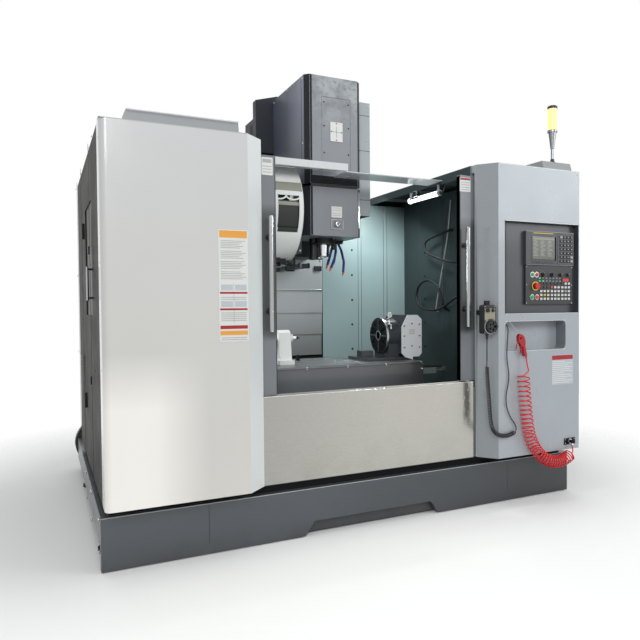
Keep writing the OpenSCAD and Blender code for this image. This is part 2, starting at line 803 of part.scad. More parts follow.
// The display unit with its screen window, soft keys and keypad
module display_unit() {
    face = -cab_proud + console_deep - 26;
    color("#34373b") from_front() difference() {
        union() {
            along_y(face, -cab_proud + console_deep) translate([display_x, display_z + run])
                soft_rect(display_w, display_h - run, 8);
            for (k = [0:6]) box(display_x + 58 + k * 28, display_x + 78 + k * 28, face - 3, face,
                display_z + 12, display_z + 22);
            for (row = [0:6], k = [0:3])
                translate([display_x + 296 + k * 31, face - 3, display_z + 22 + row * 27]) cube([24, 3, 19]);
        }
        box(display_x + 54, display_x + 54 + 208, face - 1, face + 5, display_z + 34, display_z + 192);
    }
}

// The signal lamp: foot, pole, cone and a lens with a dark cap
module signal_lamp() {
    color("#e8d9a0") from_front() translate([lamp_x, lamp_d, roof_z + 62]) {
        cylinder(h = 8, r = 30);
        cylinder(h = 110, r = 10);
        translate([0, 0, 108]) cylinder(h = 112, r1 = 13, r2 = 27);
        translate([0, 0, 220]) cylinder(h = 12, r = 34);
        translate([0, 0, 232]) cylinder(h = 150, r = 32);
        translate([0, 0, 382]) cylinder(h = 16, r = 34);
        translate([0, 0, 398]) cylinder(h = 6, r1 = 34, r2 = 26);
    }
}

// The tube light under the right roof edge, with its end caps and brackets
module work_light() {
    x = roof_edge + 2;
    z = roof_z - 118;
    color("#f2f4f2") from_front() {
        rod_y(412, 800, 18, x, z);
        for (d = [398, 800]) rod_y(d, d + 14, 21, x, z);
        for (d = [416, 784]) box(x - 6, x + 6, d, d + 12, z + 16, roof_z - roof_fold);
    }
}

// A route given by depth turned into one in the machine's own frame
function placed(route) = [for (p = route) p - [0, front_y, 0]];

// The handwheel pendant's housing, with its boss, strain relief and hanging loop
module pendant_body() {
    color("#c9c6b4") from_front() difference() {
        union() {
            along_y(-pendant_front, -pendant_back) translate([pendant_x - pendant_w / 2, pendant_z])
                soft_rect(pendant_w, pendant_h, 14);
            rod_y(-pendant_front - 4, -pendant_front, wheel_r + 2, wheel_x, wheel_z);
            translate([pendant_x - 2, -102, pendant_z - 36]) cylinder(h = 36, r1 = 6, r2 = 11);
        }
        box(pendant_x - 14 - run, pendant_x + 14 + run, -pendant_back - 12 - run, -pendant_back + 1,
            pendant_z + pendant_h - 30, pendant_z + pendant_h + 1);
    }
}

// The pendant's wheel with its rim, spokes and crank knob
module pendant_wheel() {
    face = -pendant_front - 4 - run;
    color("#1c1d1f") from_front() difference() {
        union() {
            rod_y(face - 14, face, wheel_r, wheel_x, wheel_z);
            rod_y(face - 30, face - 14, 7, wheel_x + wheel_r - 12, wheel_z);
        }
        for (a = [0:72:359]) translate([wheel_x, face - 15, wheel_z]) rotate([0, a, 0])
            translate([wheel_r * 0.5, 0, 0]) rotate([-90, 0, 0]) cylinder(h = 10, r = 8);
    }
}

// The pendant's axis selector, a pointer knob
module pendant_dial() {
    face = -pendant_front - run;
    color("#1c1d1f") from_front() {
        rod_y(face - 16, face, 12, pendant_x - 22, pendant_z + 150);
        box(pendant_x - 24, pendant_x - 20, face - 19, face - 16, pendant_z + 139, pendant_z + 161);
    }
}

module pendant_cord_ends() {
    color("#151515") {
        swept_tube(placed(pendant_cord_top), cord_dia / 2, 8);
        swept_tube(placed(pendant_cord_back), cord_dia / 2, 8);
    }
}

module pendant_cord_curl() {
    color("#151515") swept_tube(placed(pendant_curl), curl_dia / 2, 12);
}

// The red air gun: hooked nozzle, body, grip and hose nipple
module air_gun() {
    color("#c01f2e") from_front() translate([gun_x, -gun_d, gun_z]) {
        difference() {
            along_y(-12, 12) polygon([
                [-14, -6], [-2, 10], [18, 6], [34, -8], [44, -34], [42, -66], [50, -104], [58, -134],
                [38, -138], [28, -104], [22, -66], [4, -58], [-12, -40]]);
            translate([4, -13, -18]) rotate([-90, 0, 0]) cylinder(h = 26, r = 7);
        }
        rod([-10, 0, -30], [-27, 0, -88], 4);
        for (y = [-12, 5 + run]) translate([0, y, 0]) along_y(0, 7 - run) polygon([
            [4, -54], [24, -60], [24, -74], [8, -72]]);
        rod_y(-8, 8, 2.5, trigger_x, trigger_z);
        rod([49, -8, -130], [52, -8, -146], 6);
    }
}

// The air gun's lever trigger, on its pivot above the grip
module trigger() {
    color("#8f1220") from_front() translate([gun_x, -gun_d, gun_z])
        difference() {
            along_y(-5, 5) polygon([[8, -62], [20, -67], [23, -104], [14, -112], [7, -90]]);
            rod_y(-6, 6, 2.5 + fit, trigger_x, trigger_z);
        }
}

module air_hose_end() {
    color("#d8232a") {
        swept_tube(placed(air_hose_top), hose_dia / 2, 8);
        swept_tube(placed(air_hose_tail), hose_dia / 2, 8);
    }
}

module air_hose_curl() {
    color("#d8232a") swept_tube(placed(air_hose_coil), hose_coil_dia / 2, 12);
}

// The electrical cabinet on the back, with its door, rain lip and cooler
module electrical_cabinet() {
    x0 = 480;
    x1 = 1430;
    color("#c4c8ca") from_front() {
        difference() {
            box(x0, x1, side_depth, 2290, 330, 2050);
            box(x0 + 4, x1 - 4, side_depth + 4, 2286, 329, 2046);
        }
        box(x0 + 14, x1 - 14, 2290, 2306, 350, 2030);
        box(x0 - 6, x1 + 6, side_depth, 2322, 2050, 2062);
        for (z = [520, 1850]) rod_z(z, z + 90, 9, x0 + 8, 2300);
        box(x1 - 70, x1 - 48, 2306, 2330, 1120, 1260);
        difference() {
            box(x0 + 260, x0 + 640, 2306, 2345, 1300, 1900);
            box(x0 + 264, x0 + 636, 2305, 2330, 1304, 1896);
            for (k = [0:8]) box(x0 + 290, x0 + 610, 2330, 2346, 1330 + k * 62, 1366 + k * 62);
        }
        for (x = [x0 + 40, x1 - 100]) box(x, x + 60, side_depth, base_back - sheet_t, base_h, 330);
    }
}

// The finned motor of the left chip auger, on the back of the base
module auger_motor() {
    color("#1e2123") from_front() {
        rod_y(base_back, base_back + 14, 150, left_trough_x, trough_z);
        rod_y(base_back + 14, base_back + 60, 110, left_trough_x, trough_z);
        for (k = [0:6]) rod_y(base_back + 18 + k * 12, base_back + 24 + k * 12, 180, left_trough_x, trough_z);
        rod_y(base_back + 60, base_back + 110, 168, left_trough_x, trough_z);
    }
}

// The magazine's drum cover, with a window in its rim, an open mouth and a gap for the change pot
module magazine_cover() {
    color("#c8c9c7") from_front() difference() {
        union() {
            rod_x(drum_x - drum_w, drum_x, drum_r, drum_d, drum_z);
        }
        rod_x(drum_x - drum_w + drum_t, drum_x - drum_t, drum_r - drum_t, drum_d, drum_z);
        rod_x(drum_x - drum_w - 1, drum_x - drum_w + drum_t + 1, drum_r - 70, drum_d, drum_z);
        rod_x(drum_x - drum_t - 1, drum_x + 1, 46, drum_d, drum_z);
        box(drum_x - 168, drum_x - 26, drum_d - drum_r - 1, drum_d - 200, drum_z - 128, drum_z + 100);
        box(arm_x - arm_reach - 50, arm_x - arm_reach + 50, drum_d - 90, drum_d + 110, drum_z - drum_r - 1,
            drum_z - 150);
    }
}

// The tool disc: a hub and plate, and one pot for each tool around its rim
module tool_disc() {
    plate_x = drum_x - 100;
    color("#17181a") from_front() {
        difference() {
            union() {
                rod_x(plate_x, plate_x + 18, pot_circle + 6, drum_d, drum_z);
                rod_x(plate_x, drum_x + 30, 46 - fit, drum_d, drum_z);
            }
            for (a = [30:60:359]) translate([plate_x - 1, drum_d, drum_z]) rotate([a, 0, 0])
                translate([0, 150, 0]) rotate([0, 90, 0]) cylinder(h = 20, r = 46);
        }
        for (k = [0:pot_count - 1]) translate([plate_x, drum_d, drum_z]) rotate([k * 360 / pot_count, 0, 0])
            translate([0, 0, -pot_circle]) tool_pot();
    }
}

// A tool pot: a cup whose mouth points left, with a collar and a pull stud hole
module tool_pot() {
    rotate([0, -90, 0]) difference() {
        union() {
            translate([0, 0, -26]) cylinder(h = 104, r = pot_r - 4);
            translate([0, 0, 62]) cylinder(h = 30, r = pot_r);
        }
        translate([0, 0, 30]) cylinder(h = 63, r = pot_r - 12);
    }
}

// The cam box that turns the arm and carries the drum, on its arm from the column
module arm_drive() {
    x1 = arm_x + 41;
    color("#2c2f33") from_front() difference() {
        union() {
            box(drum_x, x1, drum_d - 90, drum_d + 190, drum_z - 270, drum_z + 200);
            box(drum_x + 22, x1, drum_d + 190, column_d, drum_z - 130, drum_z + 90);
            rod_z(arm_z + 8, drum_z - 270, 38, arm_x, arm_d);
        }
        rod_x(drum_x, drum_x + 34, 46, drum_d, drum_z);
        rod_z(arm_z + 7, arm_z + 120, 24, arm_x, arm_d);
    }
}

// The double-ended tool arm: a hub on its shaft and two arms that end in hooked grippers
module tool_arm() {
    grip_r = 30;
    color("#9a9c9e") from_front() translate([arm_x, arm_d, arm_z - arm_t]) {
        difference() {
            union() {
                cylinder(h = arm_t, r = 39);
                for (s = [-1, 1]) linear_extrude(arm_t) polygon([
                    [-36, 0], [36, 0], [22, s * 150], [38, s * (arm_reach - 12)],
                    [38, s * (arm_reach + 8)], [-38, s * (arm_reach + 8)],
                    [-38, s * (arm_reach - 12)], [-22, s * 150]]);
                for (s = [-1, 1]) translate([0, s * arm_reach, 0]) cylinder(h = arm_t, r = 39);
            }
            for (s = [-1, 1]) {
                translate([0, s * arm_reach, -1]) cylinder(h = arm_t + 2, r = grip_r);
                translate([s > 0 ? -60 : 0, s * arm_reach - 24, -1]) cube([60, 48, arm_t + 2]);
            }
        }
        cylinder(h = arm_t + 110, r = 24 - fit);
    }
}

// A ball screw: its rolled shaft between two turned journals
module y_screw() {
    color("#a9adb0") from_front() rod_y(bed_front_d + run, way_d - 92, screw_r - 4, mill_x, y_screw_z);
}

module z_screw() {
    color("#a9adb0") from_front() rod_z(cover_z + 60, z_motor_z - run, 15, mill_x, z_screw_d);
}

module x_screw() {
    color("#a9adb0") from_front()
        rod_x(saddle_left + 4, saddle_right - 4, 15, saddle_mid_d, x_screw_z);
}

// The saddle: it slides on the bed's ways, holds the X ways and the X screw's bearings
module saddle() {
    foot_half = way_in + way_w + 20;
    pocket_x = foot_half * 0.55;
    color("#53585c") from_front() difference() {
        union() {
            box(-foot_half, foot_half, saddle_front_d, saddle_back_d, saddle_low, saddle_body_top - 60);
            box(saddle_left, saddle_right, saddle_front_d, saddle_back_d,
                saddle_body_top - 90, saddle_body_top);
            for (d = [saddle_front_d + 40, saddle_back_d - 110])
                box(saddle_left, saddle_right, d, d + 70, saddle_body_top, saddle_top);
            for (x = [saddle_left, saddle_right - 40])
                box(x, x + 40, saddle_mid_d - 50, saddle_mid_d + 50, saddle_body_top, saddle_top - 2);
            // The servo motor at the left end of the X screw
            box(saddle_left - 60, saddle_left, saddle_mid_d - 62, saddle_mid_d + 62,
                x_screw_z - 100, x_screw_z + 18);
            rod_x(saddle_left - 230, saddle_left - 60, 58, saddle_mid_d, x_screw_z - 42);
            box(mill_x - 60, mill_x + 60, saddle_mid_d - 50, saddle_mid_d + 50, bed_top - 30, saddle_low);
        }
        for (s = [-1, 1]) for (d = [saddle_front_d + 60, saddle_mid_d + 40])
            box(s * pocket_x - 90, s * pocket_x + 90, d, d + 160, saddle_low - 1, saddle_body_top - 130);
        rod_y(saddle_mid_d - 60, saddle_mid_d + 60, screw_r - 4 + fit, mill_x, y_screw_z);
        rod_x(saddle_left, saddle_left + 41, 15 + fit, saddle_mid_d, x_screw_z);
        rod_x(saddle_right - 41, saddle_right + 1, 15 + fit, saddle_mid_d, x_screw_z);
    }
}

// The table with its T-slots, coolant gutters and screw nut
module table() {
    x0 = table_x - table_l / 2;
    x1 = table_x + table_l / 2;
    mid_d = table_d + table_w / 2;
    color("#8c8f90") from_front() difference() {
        union() {
            box(x0, x1, table_d, table_d + table_w, table_low, table_z);
            box(table_x - 60, table_x + 60, saddle_mid_d - 50, saddle_mid_d + 50,
                saddle_body_top + 2, table_low);
        }
        for (k = [-2:2]) {
            d = mid_d + k * slot_pitch;
            box(x0 - 1, x1 + 1, d - slot_w / 2, d + slot_w / 2, table_z - 34, table_z + 1);
            box(x0 - 1, x1 + 1, d - slot_w / 2 - 7, d + slot_w / 2 + 7, table_z - 34, table_z - 20);
        }
        for (d = [table_d + 12, table_d + table_w - 30])
            box(x0 + 10, x1 - 10, d, d + 18, table_z - 12, table_z + 1);
        rod_x(table_x - 61, table_x + 61, 15 + fit, saddle_mid_d, x_screw_z);
    }
}

// The sheet apron that hangs from the table's front edge and right end
module table_guard() {
    x0 = table_x - table_l / 2;
    x1 = table_x + table_l / 2;
    color("#7c8083") from_front() {
        box(x0, x1 + 4, table_d - 4, table_d, 700, table_z - 6);
        box(x0, x1 + 4, table_d - 16, table_d - 4, 700, 704);
        box(x1, x1 + 4, table_d, saddle_front_d - 6, 780, table_z - 6);
        box(x1, x1 + 4, saddle_front_d - 7, table_d + 240, table_low + 4, table_z - 6);
        box(x0, x1 + 4, table_d - 10, table_d - 4, table_z - 12, table_z - 6);
    }
}

// The rotary unit: base, round body and the light chamfered gear housing at its right end
module rotary_unit() {
    axis_z = table_z + rotary_axis_h;
    body_x = faceplate_x + 20 + run;
    box_x = faceplate_x + 110;
    low = 20;
    top = rotary_axis_h + 145;
    color("#8f9496") from_front() difference() {
        union() {
            box(faceplate_x - 165, 548, rotary_d - 150, rotary_d + 150, table_z, table_z + 20);
            rod_x(body_x, box_x + 1, faceplate_r - 6, rotary_d, axis_z);
            box(body_x + 6, box_x + 1, rotary_d - 105, rotary_d + 105, table_z + low - 1, axis_z);
            // The gear housing, whose outline shows on its pale front plate
            for (part = [[0, rotary_box_w, -142, 150], [-3, rotary_box_w + 3, -150, -142]])
                along_y(rotary_d + part[2], rotary_d + part[3]) translate([box_x, table_z]) polygon([
                    [part[0], low + 26], [part[0] + 26, low], [part[1] - 22, low], [part[1], low + 22],
                    [part[1], top - 30], [part[1] - 34, top], [part[0] + 46, top], [part[0], top - 84]]);
            box(box_x + 60, box_x + rotary_box_w - 8, rotary_d + 149, rotary_d + 290,
                table_z + 120, table_z + 270);
            box(faceplate_x - 150, faceplate_x - 60, rotary_d - 40, rotary_d + 40,
                table_z + 18, table_z + 66);
        }
        rod_x(body_x - 1, box_x + 86, 32, rotary_d, axis_z);
    }
}

// The faceplate: a disc with a centre bore, six radial T-slots and a spindle tube behind it
module rotary_faceplate() {
    axis_z = table_z + rotary_axis_h;
    color("#3a3c3e") from_front() difference() {
        union() {
            rod_x(faceplate_x, faceplate_x + 20, faceplate_r, rotary_d, axis_z);
            rod_x(faceplate_x + 20, 540, 32 - fit, rotary_d, axis_z);
        }
        rod_x(faceplate_x - 1, 500, 20, rotary_d, axis_z);
        for (a = [0:60:359]) translate([faceplate_x, rotary_d, axis_z]) rotate([a, 0, 0])
            translate([-1, -6, 42]) cube([9, 12, faceplate_r]);
    }
}

// The tailstock: foot, stepped upright, quill and its clamping lever
module tailstock() {
    axis_z = table_z + rotary_axis_h;
    x0 = -420;
    color("#dfe1df") from_front() {
        box(x0, x0 + 105, rotary_d - 85, rotary_d + 85, table_z, table_z + 30);
        along_x(x0 + 12, x0 + 92) polygon([
            [rotary_d - 70, table_z + 30], [rotary_d + 70, table_z + 30], [rotary_d + 52, axis_z - 20],
            [rotary_d + 46, axis_z + 40], [rotary_d + 20, axis_z + 56], [rotary_d - 20, axis_z + 56],
            [rotary_d - 46, axis_z + 40], [rotary_d - 52, axis_z - 20]]);
        rod_x(x0 - 40, x0 + 118, 26, rotary_d, axis_z);
        translate([x0 + 118, rotary_d, axis_z]) rotate([0, 90, 0]) cylinder(h = 34, r1 = 16, r2 = 2);
        rod_x(x0 - 64, x0 - 40, 34, rotary_d, axis_z);
        rod([x0 - 52, rotary_d - 30, axis_z], [x0 - 52, rotary_d - 62, axis_z + 40], 6);
    }
}

// The head casting: it slides on the column's ways and holds the spindle's cartridge
module head_casting() {
    lug_half = head_half - cover_sheet;
    color("#3a3e42") from_front() difference() {
        union() {
            along_x(mill_x - casting_half, mill_x + casting_half) polygon([
                [655, 1850], [980, 1850], [1180, casting_low], [casting_back_d, casting_low],
                [casting_back_d, 2440], [1180, 2400], [930, 2200], [655, 2140]]);
            rod_z(1770, 2330, cartridge_r, mill_x, spindle_d);
            rod_z(nose_top, 1770, cartridge_r + 14, mill_x, spindle_d);
            rod_z(2130, 2330, 112, mill_x, spindle_d);
            box(mill_x - lug_half, mill_x + lug_half, 900, 940, 2010, 2050);
            box(mill_x - lug_half, mill_x + lug_half, 1060, 1100, 2240, 2280);
            box(mill_x - 60, mill_x + 60, casting_back_d - 10, column_d - 1, 1900, 1990);
            box(mill_x - z_way_in - z_way_w, mill_x + z_way_in + z_way_w, 1400, casting_back_d, 1760, 2400);
        }
        rod_z(nose_top - 1, 2331, shaft_r + fit, mill_x, spindle_d);
        rod_z(1899, 1991, 15 + fit, mill_x, z_screw_d);
        for (s = [-1, 1]) box(mill_x + s * 90 - 36, mill_x + s * 90 + 36, 1190, 1390, 1780, 2360);
    }
}

// The plan outline of the head's covers: front, two bevels and sides
module head_plan(inset, back) {
    f = head_w / 2 - inset * 0.4;
    h = head_half - inset;
    bevel_d = head_d + head_bevel + inset * 0.4;
    polygon([
        [mill_x - f, head_d + inset], [mill_x + f, head_d + inset], [mill_x + h, bevel_d],
        [mill_x + h, back], [mill_x - h, back], [mill_x - h, bevel_d]]);
}

module head_shell(z0, z1, back) {
    difference() {
        translate([0, 0, z0]) linear_extrude(z1 - z0) head_plan(0, back);
        translate([0, 0, z0 - 1]) linear_extrude(z1 - z0 + 1 - cover_sheet) head_plan(cover_sheet, back + 1);
    }
}

// The tall upper cover of the head, with its access plate and the box for its hoses on the right
module upper_head_cover() {
    duct_x = mill_x + head_half;
    color("#868b90") from_front() {
        difference() {
            head_shell(head_split, head_top, head_back_d);
            along_y(head_d - 1, head_d + 3) difference() {
                translate([mill_x - 92, head_split - 10]) square([216, 597]);
                translate([mill_x - 89, head_split - 11]) square([210, 595]);
            }
        }
        box(mill_x - 29, mill_x + 64, head_d - 2, head_d, 2440, 2572);
        difference() {
            box(duct_x, duct_x + 128, 700, 1000, 1968, 2774);
            box(duct_x + 4, duct_x + 124, 704, 996, 1967, 2770);
        }
    }
}

// The lower cover round the spindle, with its floor, square plate and grease fitting
module lower_head_cover() {
    back = 980;
    plug_x = mill_x + 17;
    color("#868b90") from_front() {
        difference() {
            translate([0, 0, head_low]) linear_extrude(head_split - 18 - head_low) head_plan(0, back);
            translate([0, 0, head_low + cover_sheet]) linear_extrude(head_split)
                head_plan(cover_sheet, back + 1);
            rod_z(head_low - 1, head_low + cover_sheet + 1, cartridge_r + 15, mill_x, spindle_d);
        }
        box(mill_x - 26, mill_x + 56, head_d - 2, head_d, 1926, 2003);
        box(mill_x - 27, mill_x + 63, head_d - 4, head_d, 1846, 1914);
        rod_y(head_d - 14, head_d - 4, 21, plug_x, 1882);
        rod_y(head_d - 22, head_d - 14, 13, plug_x, 1882);
    }
}

// The spindle: chromed nose with its taper and drive keys, and the shaft up to the motor
module spindle() {
    color("#d5d8da") from_front() translate([mill_x, spindle_d, 0]) difference() {
        union() {
            translate([0, 0, nose_z]) cylinder(h = 8, r1 = nose_r - 6, r2 = nose_r);
            translate([0, 0, nose_z + 8]) cylinder(h = nose_top - run - nose_z - 8, r = nose_r);
            translate([0, 0, nose_top - 1]) cylinder(h = shaft_top - nose_top + 1, r = shaft_r);
            for (s = [-1, 1]) translate([s * 32 - 6, -8, nose_z - 8]) cube([12, 16, 12]);
        }
        translate([0, 0, nose_z - 0.01]) cylinder(h = 65, r1 = 22.2, r2 = 12.7);
        translate([0, 0, nose_z]) cylinder(h = 300, r = 9);
    }
}

// The spindle motor on top of the cartridge, with cooling ribs and a fan cap
module spindle_motor() {
    color("#1d1f21") from_front() translate([mill_x, spindle_d, 2330]) difference() {
        union() {
            cylinder(h = 16, r = 110);
            for (k = [0:7]) translate([0, 0, 16 + k * 32]) cylinder(h = 24, r = 104);
            cylinder(h = 272, r = 92);
            translate([0, 0, 272]) cylinder(h = 46, r = 98);
            translate([-40, 70, 120]) cube([80, 60, 110]);
        }
        translate([0, 0, -1]) cylinder(h = 20, r = shaft_r + 4);
    }
}

// One jointed coolant hose: beads strung along its points, and a tapered tip
module jointed_hose(p) {
    n = len(p) - 1;
    for (i = [0:n - 1]) {
        rod(p[i], p[i + 1], 7);
        for (t = [0.1:0.2:0.9])
            rod(p[i] * (1 - t) + p[i + 1] * t, p[i] * (0.9 - t) + p[i + 1] * (t + 0.1), 10);
        if (i > 0) translate(p[i]) sphere(r = 9);
    }
    translate(p[0] - [0, 0, 8]) cylinder(h = 13, r = 8.5);
    v = p[n] - p[n - 1];
    translate(p[n]) rotate([0, acos(v.z / norm(v)), atan2(v.y, v.x)]) cylinder(h = 22, r1 = 8, r2 = 4);
}

module coolant_nozzles() {
    top = head_low - 5;
    color("#2a2f86") from_front() {
        jointed_hose([[125, 850, top], [108, 850, 1735], [88, 856, 1660], [74, 860, 1612]]);
        jointed_hose([[147, 866, top], [150, 868, 1720], [132, 868, 1650], [106, 868, 1596]]);
        jointed_hose([[170, 884, top], [200, 884, 1735], [222, 884, 1650], [214, 884, 1570]]);
    }
}

// One plate of the telescopic cover under the head, the n-th in front of the fixed plate
module cover_plate(n, z0, z1) {
    d1 = cover_back_d - n * cover_step;
    box(mill_x - cover_w / 2, mill_x + cover_w / 2, d1 - cover_t, d1, z0, z1);
}

module z_cover_low() {
    color("#9aa0a2") from_front() cover_plate(1, low_plate_z, low_plate_z + plate_h);
}

module z_cover_mid() {
    color("#9aa0a2") from_front() cover_plate(2, mid_plate_z, mid_plate_z + plate_h + 16);
}

module z_cover_top() {
    color("#9aa0a2") from_front() cover_plate(3, top_plate_z, casting_low);
}

// A door handle: a tall tube with two curved standoffs
module door_handle(x) {
    d = door_d - handle_reach;
    rod_z(handle_z - handle_len / 2, handle_z + handle_len / 2, handle_tube / 2, x, d);
    for (s = [-1, 1]) {
        z = handle_z + s * (handle_len / 2 - 110);
        rod_y(d, door_d, 9, x, z);
        rod_y(door_d - 5, door_d, 18, x, z);
    }
}

// A sliding door leaf: a folded frame round a window, from its outer edge to its meeting edge
module door_leaf(x0, x1) {
    mid = (x0 + x1) / 2;
    difference() {
        box(x0, x1, door_d, door_d + door_t, door_low, door_top);
        along_y(door_d - 1, door_d + door_t / 2 - 3) translate([mid - 190, 1180]) soft_rect(380, 720, 40);
        along_y(door_d + door_t / 2 + 3, door_d + door_t + 1) translate([mid - 190, 1180])
            soft_rect(380, 720, 40);
        // The frame is folded sheet, open at its foot
        difference() {
            box(x0 + 4, x1 - 4, door_d + 4, door_d + door_t - 4, door_low - 1, door_top - 4);
            box(mid - 194, mid + 194, door_d, door_d + door_t, 1176, 1904);
        }
    }
    box(x0 + 8, x1 - 8, door_d + door_t, door_d + door_t + 10, door_top - 60, door_top - 30);
}

module left_door() {
    edge = closed_x - left_travel - 1;
    color("#7c7e82") from_front() {
        door_leaf(edge - (closed_x - 1 - open_left + door_lap), edge);
        door_handle(edge - 45);
    }
}

module right_door() {
    edge = closed_x + right_travel + 1;
    color("#7c7e82") from_front() {
        door_leaf(edge, edge + (open_right + door_lap - closed_x - 1));
        door_handle(edge + 32);
    }
}

// The service door on the left side: a hinged sheet with a window, a handle and two barrels
module side_door() {
    d0 = side_door_d;
    d1 = side_door_d + side_door_w;
    color("#454844") from_front() {
        difference() {
            box(left_x, left_x + side_t - 3, d0, d1, side_door_z, side_door_z + side_door_h);
            box(left_x - 1, left_x + 8, d0 + 76, d1 - 90, 1280, 1938);
            box(left_x + 14, left_x + side_t, d0 + 76, d1 - 90, 1280, 1938);
        }
        for (z = [1380, 1540]) rod_x(left_x - 27, left_x, 6, d0 + 38, z);
        rod_z(1366, 1554, 7, left_x - 27, d0 + 38);
        for (z = hinge_heights) hinge_barrel(z + 50 + run, z + 100, fit);
    }
}

// One barrel of the service door's hinge; it is bored when it turns on the pin
module hinge_barrel(z0, z1, clearance) {
    difference() {
        union() {
            rod_z(z0, z1, 7, hinge_x, hinge_d);
            leaf_d = clearance > 0 ? hinge_d - 14 : hinge_d;
            box(hinge_x, left_x + 2, leaf_d, leaf_d + 14, z0, z1);
        }
        if (clearance > 0) rod_z(z0 - 1, z1 + 1, 4 + clearance, hinge_x, hinge_d);
    }
}

// A push button: a capped plunger in its bore, or a mushroom for the emergency stop
module plunger(x, z, r, out, cap_r, cap_h) {
    rod_y(panel_face - out, panel_face + 3, r, x, z);
    rod_y(panel_face - out - cap_h, panel_face - out, cap_r, x, z);
}

module e_stop() {
    color("#c8102e") from_front() plunger(stop_x, stop_z, 11, 12, 20, 14);
}

module green_button() {
    color("#2fa84f") from_front() plunger(green_x, knob_z, 12, 6, 10, 2);
}

module red_button() {
    color("#c8202a") from_front() plunger(red_x, knob_z, 12, 6, 10, 2);
}

// A rotary selector on the operator panel: a skirted knob with a grip bar
module selector(x) {
    rod_y(panel_face - 7, panel_face - run, 18, x, knob_z);
    rod_y(panel_face - 18, panel_face - 7, 13, x, knob_z);
    box(x - 4, x + 4, panel_face - 24, panel_face - 18, knob_z - 12, knob_z + 12);
}

module mode_knob() {
    color("#141516") from_front() selector(mode_x);
}

module feed_knob() {
    color("#141516") from_front() selector(feed_x);
}

bed();
leveling_feet();
base_skirts();
column();
servo_motors();
coolant_tank();
chip_tray();
front_panel();
left_guard();
left_side_panel();
right_side_panel();
right_cabinet();
inner_walls();
roof_panels();
roof_header();
operator_panel();
display_unit();
signal_lamp();
work_light();
pendant_body();
pendant_cord_ends();
pendant_cord_curl();
air_gun();
air_hose_end();
air_hose_curl();
electrical_cabinet();
auger_motor();
magazine_cover();
arm_drive();
y_screw();
z_screw();
x_screw();
saddle();
table();
table_guard();
rotary_unit();
rotary_faceplate();
tailstock();
head_casting();
upper_head_cover();
lower_head_cover();
spindle();
spindle_motor();
coolant_nozzles();
z_cover_low();
z_cover_mid();
z_cover_top();
tool_disc();
tool_arm();
left_door();
right_door();
side_door();
e_stop();
green_button();
red_button();
mode_knob();
feed_knob();
pendant_wheel();
pendant_dial();
trigger();
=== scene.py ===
import math

import bpy
import bmesh
from mathutils import Matrix, Vector


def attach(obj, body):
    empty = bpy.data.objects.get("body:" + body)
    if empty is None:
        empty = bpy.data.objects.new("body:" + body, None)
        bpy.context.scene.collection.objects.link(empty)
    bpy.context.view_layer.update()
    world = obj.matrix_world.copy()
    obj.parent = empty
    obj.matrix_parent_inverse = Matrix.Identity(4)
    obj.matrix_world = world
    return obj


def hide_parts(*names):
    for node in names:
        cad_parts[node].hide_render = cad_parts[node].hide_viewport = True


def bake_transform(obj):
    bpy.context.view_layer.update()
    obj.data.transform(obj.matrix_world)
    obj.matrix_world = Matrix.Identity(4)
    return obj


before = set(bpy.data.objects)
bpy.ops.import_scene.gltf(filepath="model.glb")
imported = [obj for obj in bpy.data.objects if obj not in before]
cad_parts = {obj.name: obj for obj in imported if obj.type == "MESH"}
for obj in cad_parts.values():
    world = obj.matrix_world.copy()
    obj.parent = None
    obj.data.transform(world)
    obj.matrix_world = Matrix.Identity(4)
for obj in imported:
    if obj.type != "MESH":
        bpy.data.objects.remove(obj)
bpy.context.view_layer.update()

# Depth of the base's front face in front of the origin, in millimetres
FRONT_Y = 1091
# The faces that pieces stand on, as depths behind the base's front face
LEFT_FACE = -95
CABINET_FACE = -113
PENDANT_FACE = -128
PANEL_FACE = -86
DISPLAY_FACE = -94
HEAD_FACE = 585
DOOR_FACE = 26
POCKET_BACK = -23
BACK_WALL = 1440
REAR_DOOR_FACE = 2322
# The side walls' faces in x
LEFT_SIDE = -1550
RIGHT_WALL = 1075
# Centres that more pieces share: depth and height, or x and height, or x and depth
DRUM = (740, 1950)
ROTARY = (600, 1112)
WHEEL = (770, 1187)
ARM = (-247, 765)
LAMP = (1418, 10)
# Directions
FRONT = (0, -1, 0)
REAR = (0, 1, 0)
LEFT = (-1, 0, 0)
RIGHT = (1, 0, 0)
UP = (0, 0, 1)
DOWN = (0, 0, -1)


def at(x, d, z):
    """A point from millimetres: X, depth behind the base's front face, and height."""
    return Vector((x / 1000, (d - FRONT_Y) / 1000, z / 1000))


def spots(points):
    return [at(*point) for point in points]


def srgb(code):
    """A linear colour from a hex code."""
    values = [int(code[i:i + 2], 16) / 255 for i in (1, 3, 5)]
    return (*(v / 12.92 if v <= 0.04045 else ((v + 0.055) / 1.055) ** 2.4 for v in values), 1.0)


def show(obj):
    bpy.context.scene.collection.objects.link(obj)
    return obj


# Camera, at the photograph's place and angle

PHOTO_SIZE = 640
FOCAL_PX = 630.64
CENTRE_PX = (350.54, 320.95)
CAMERA_AT = at(-1792.56, -3338.11, 1334.46)
YAW, PITCH, ROLL = (math.radians(a) for a in (26.07, -1.51, -0.41))
SENSOR_MM = 36


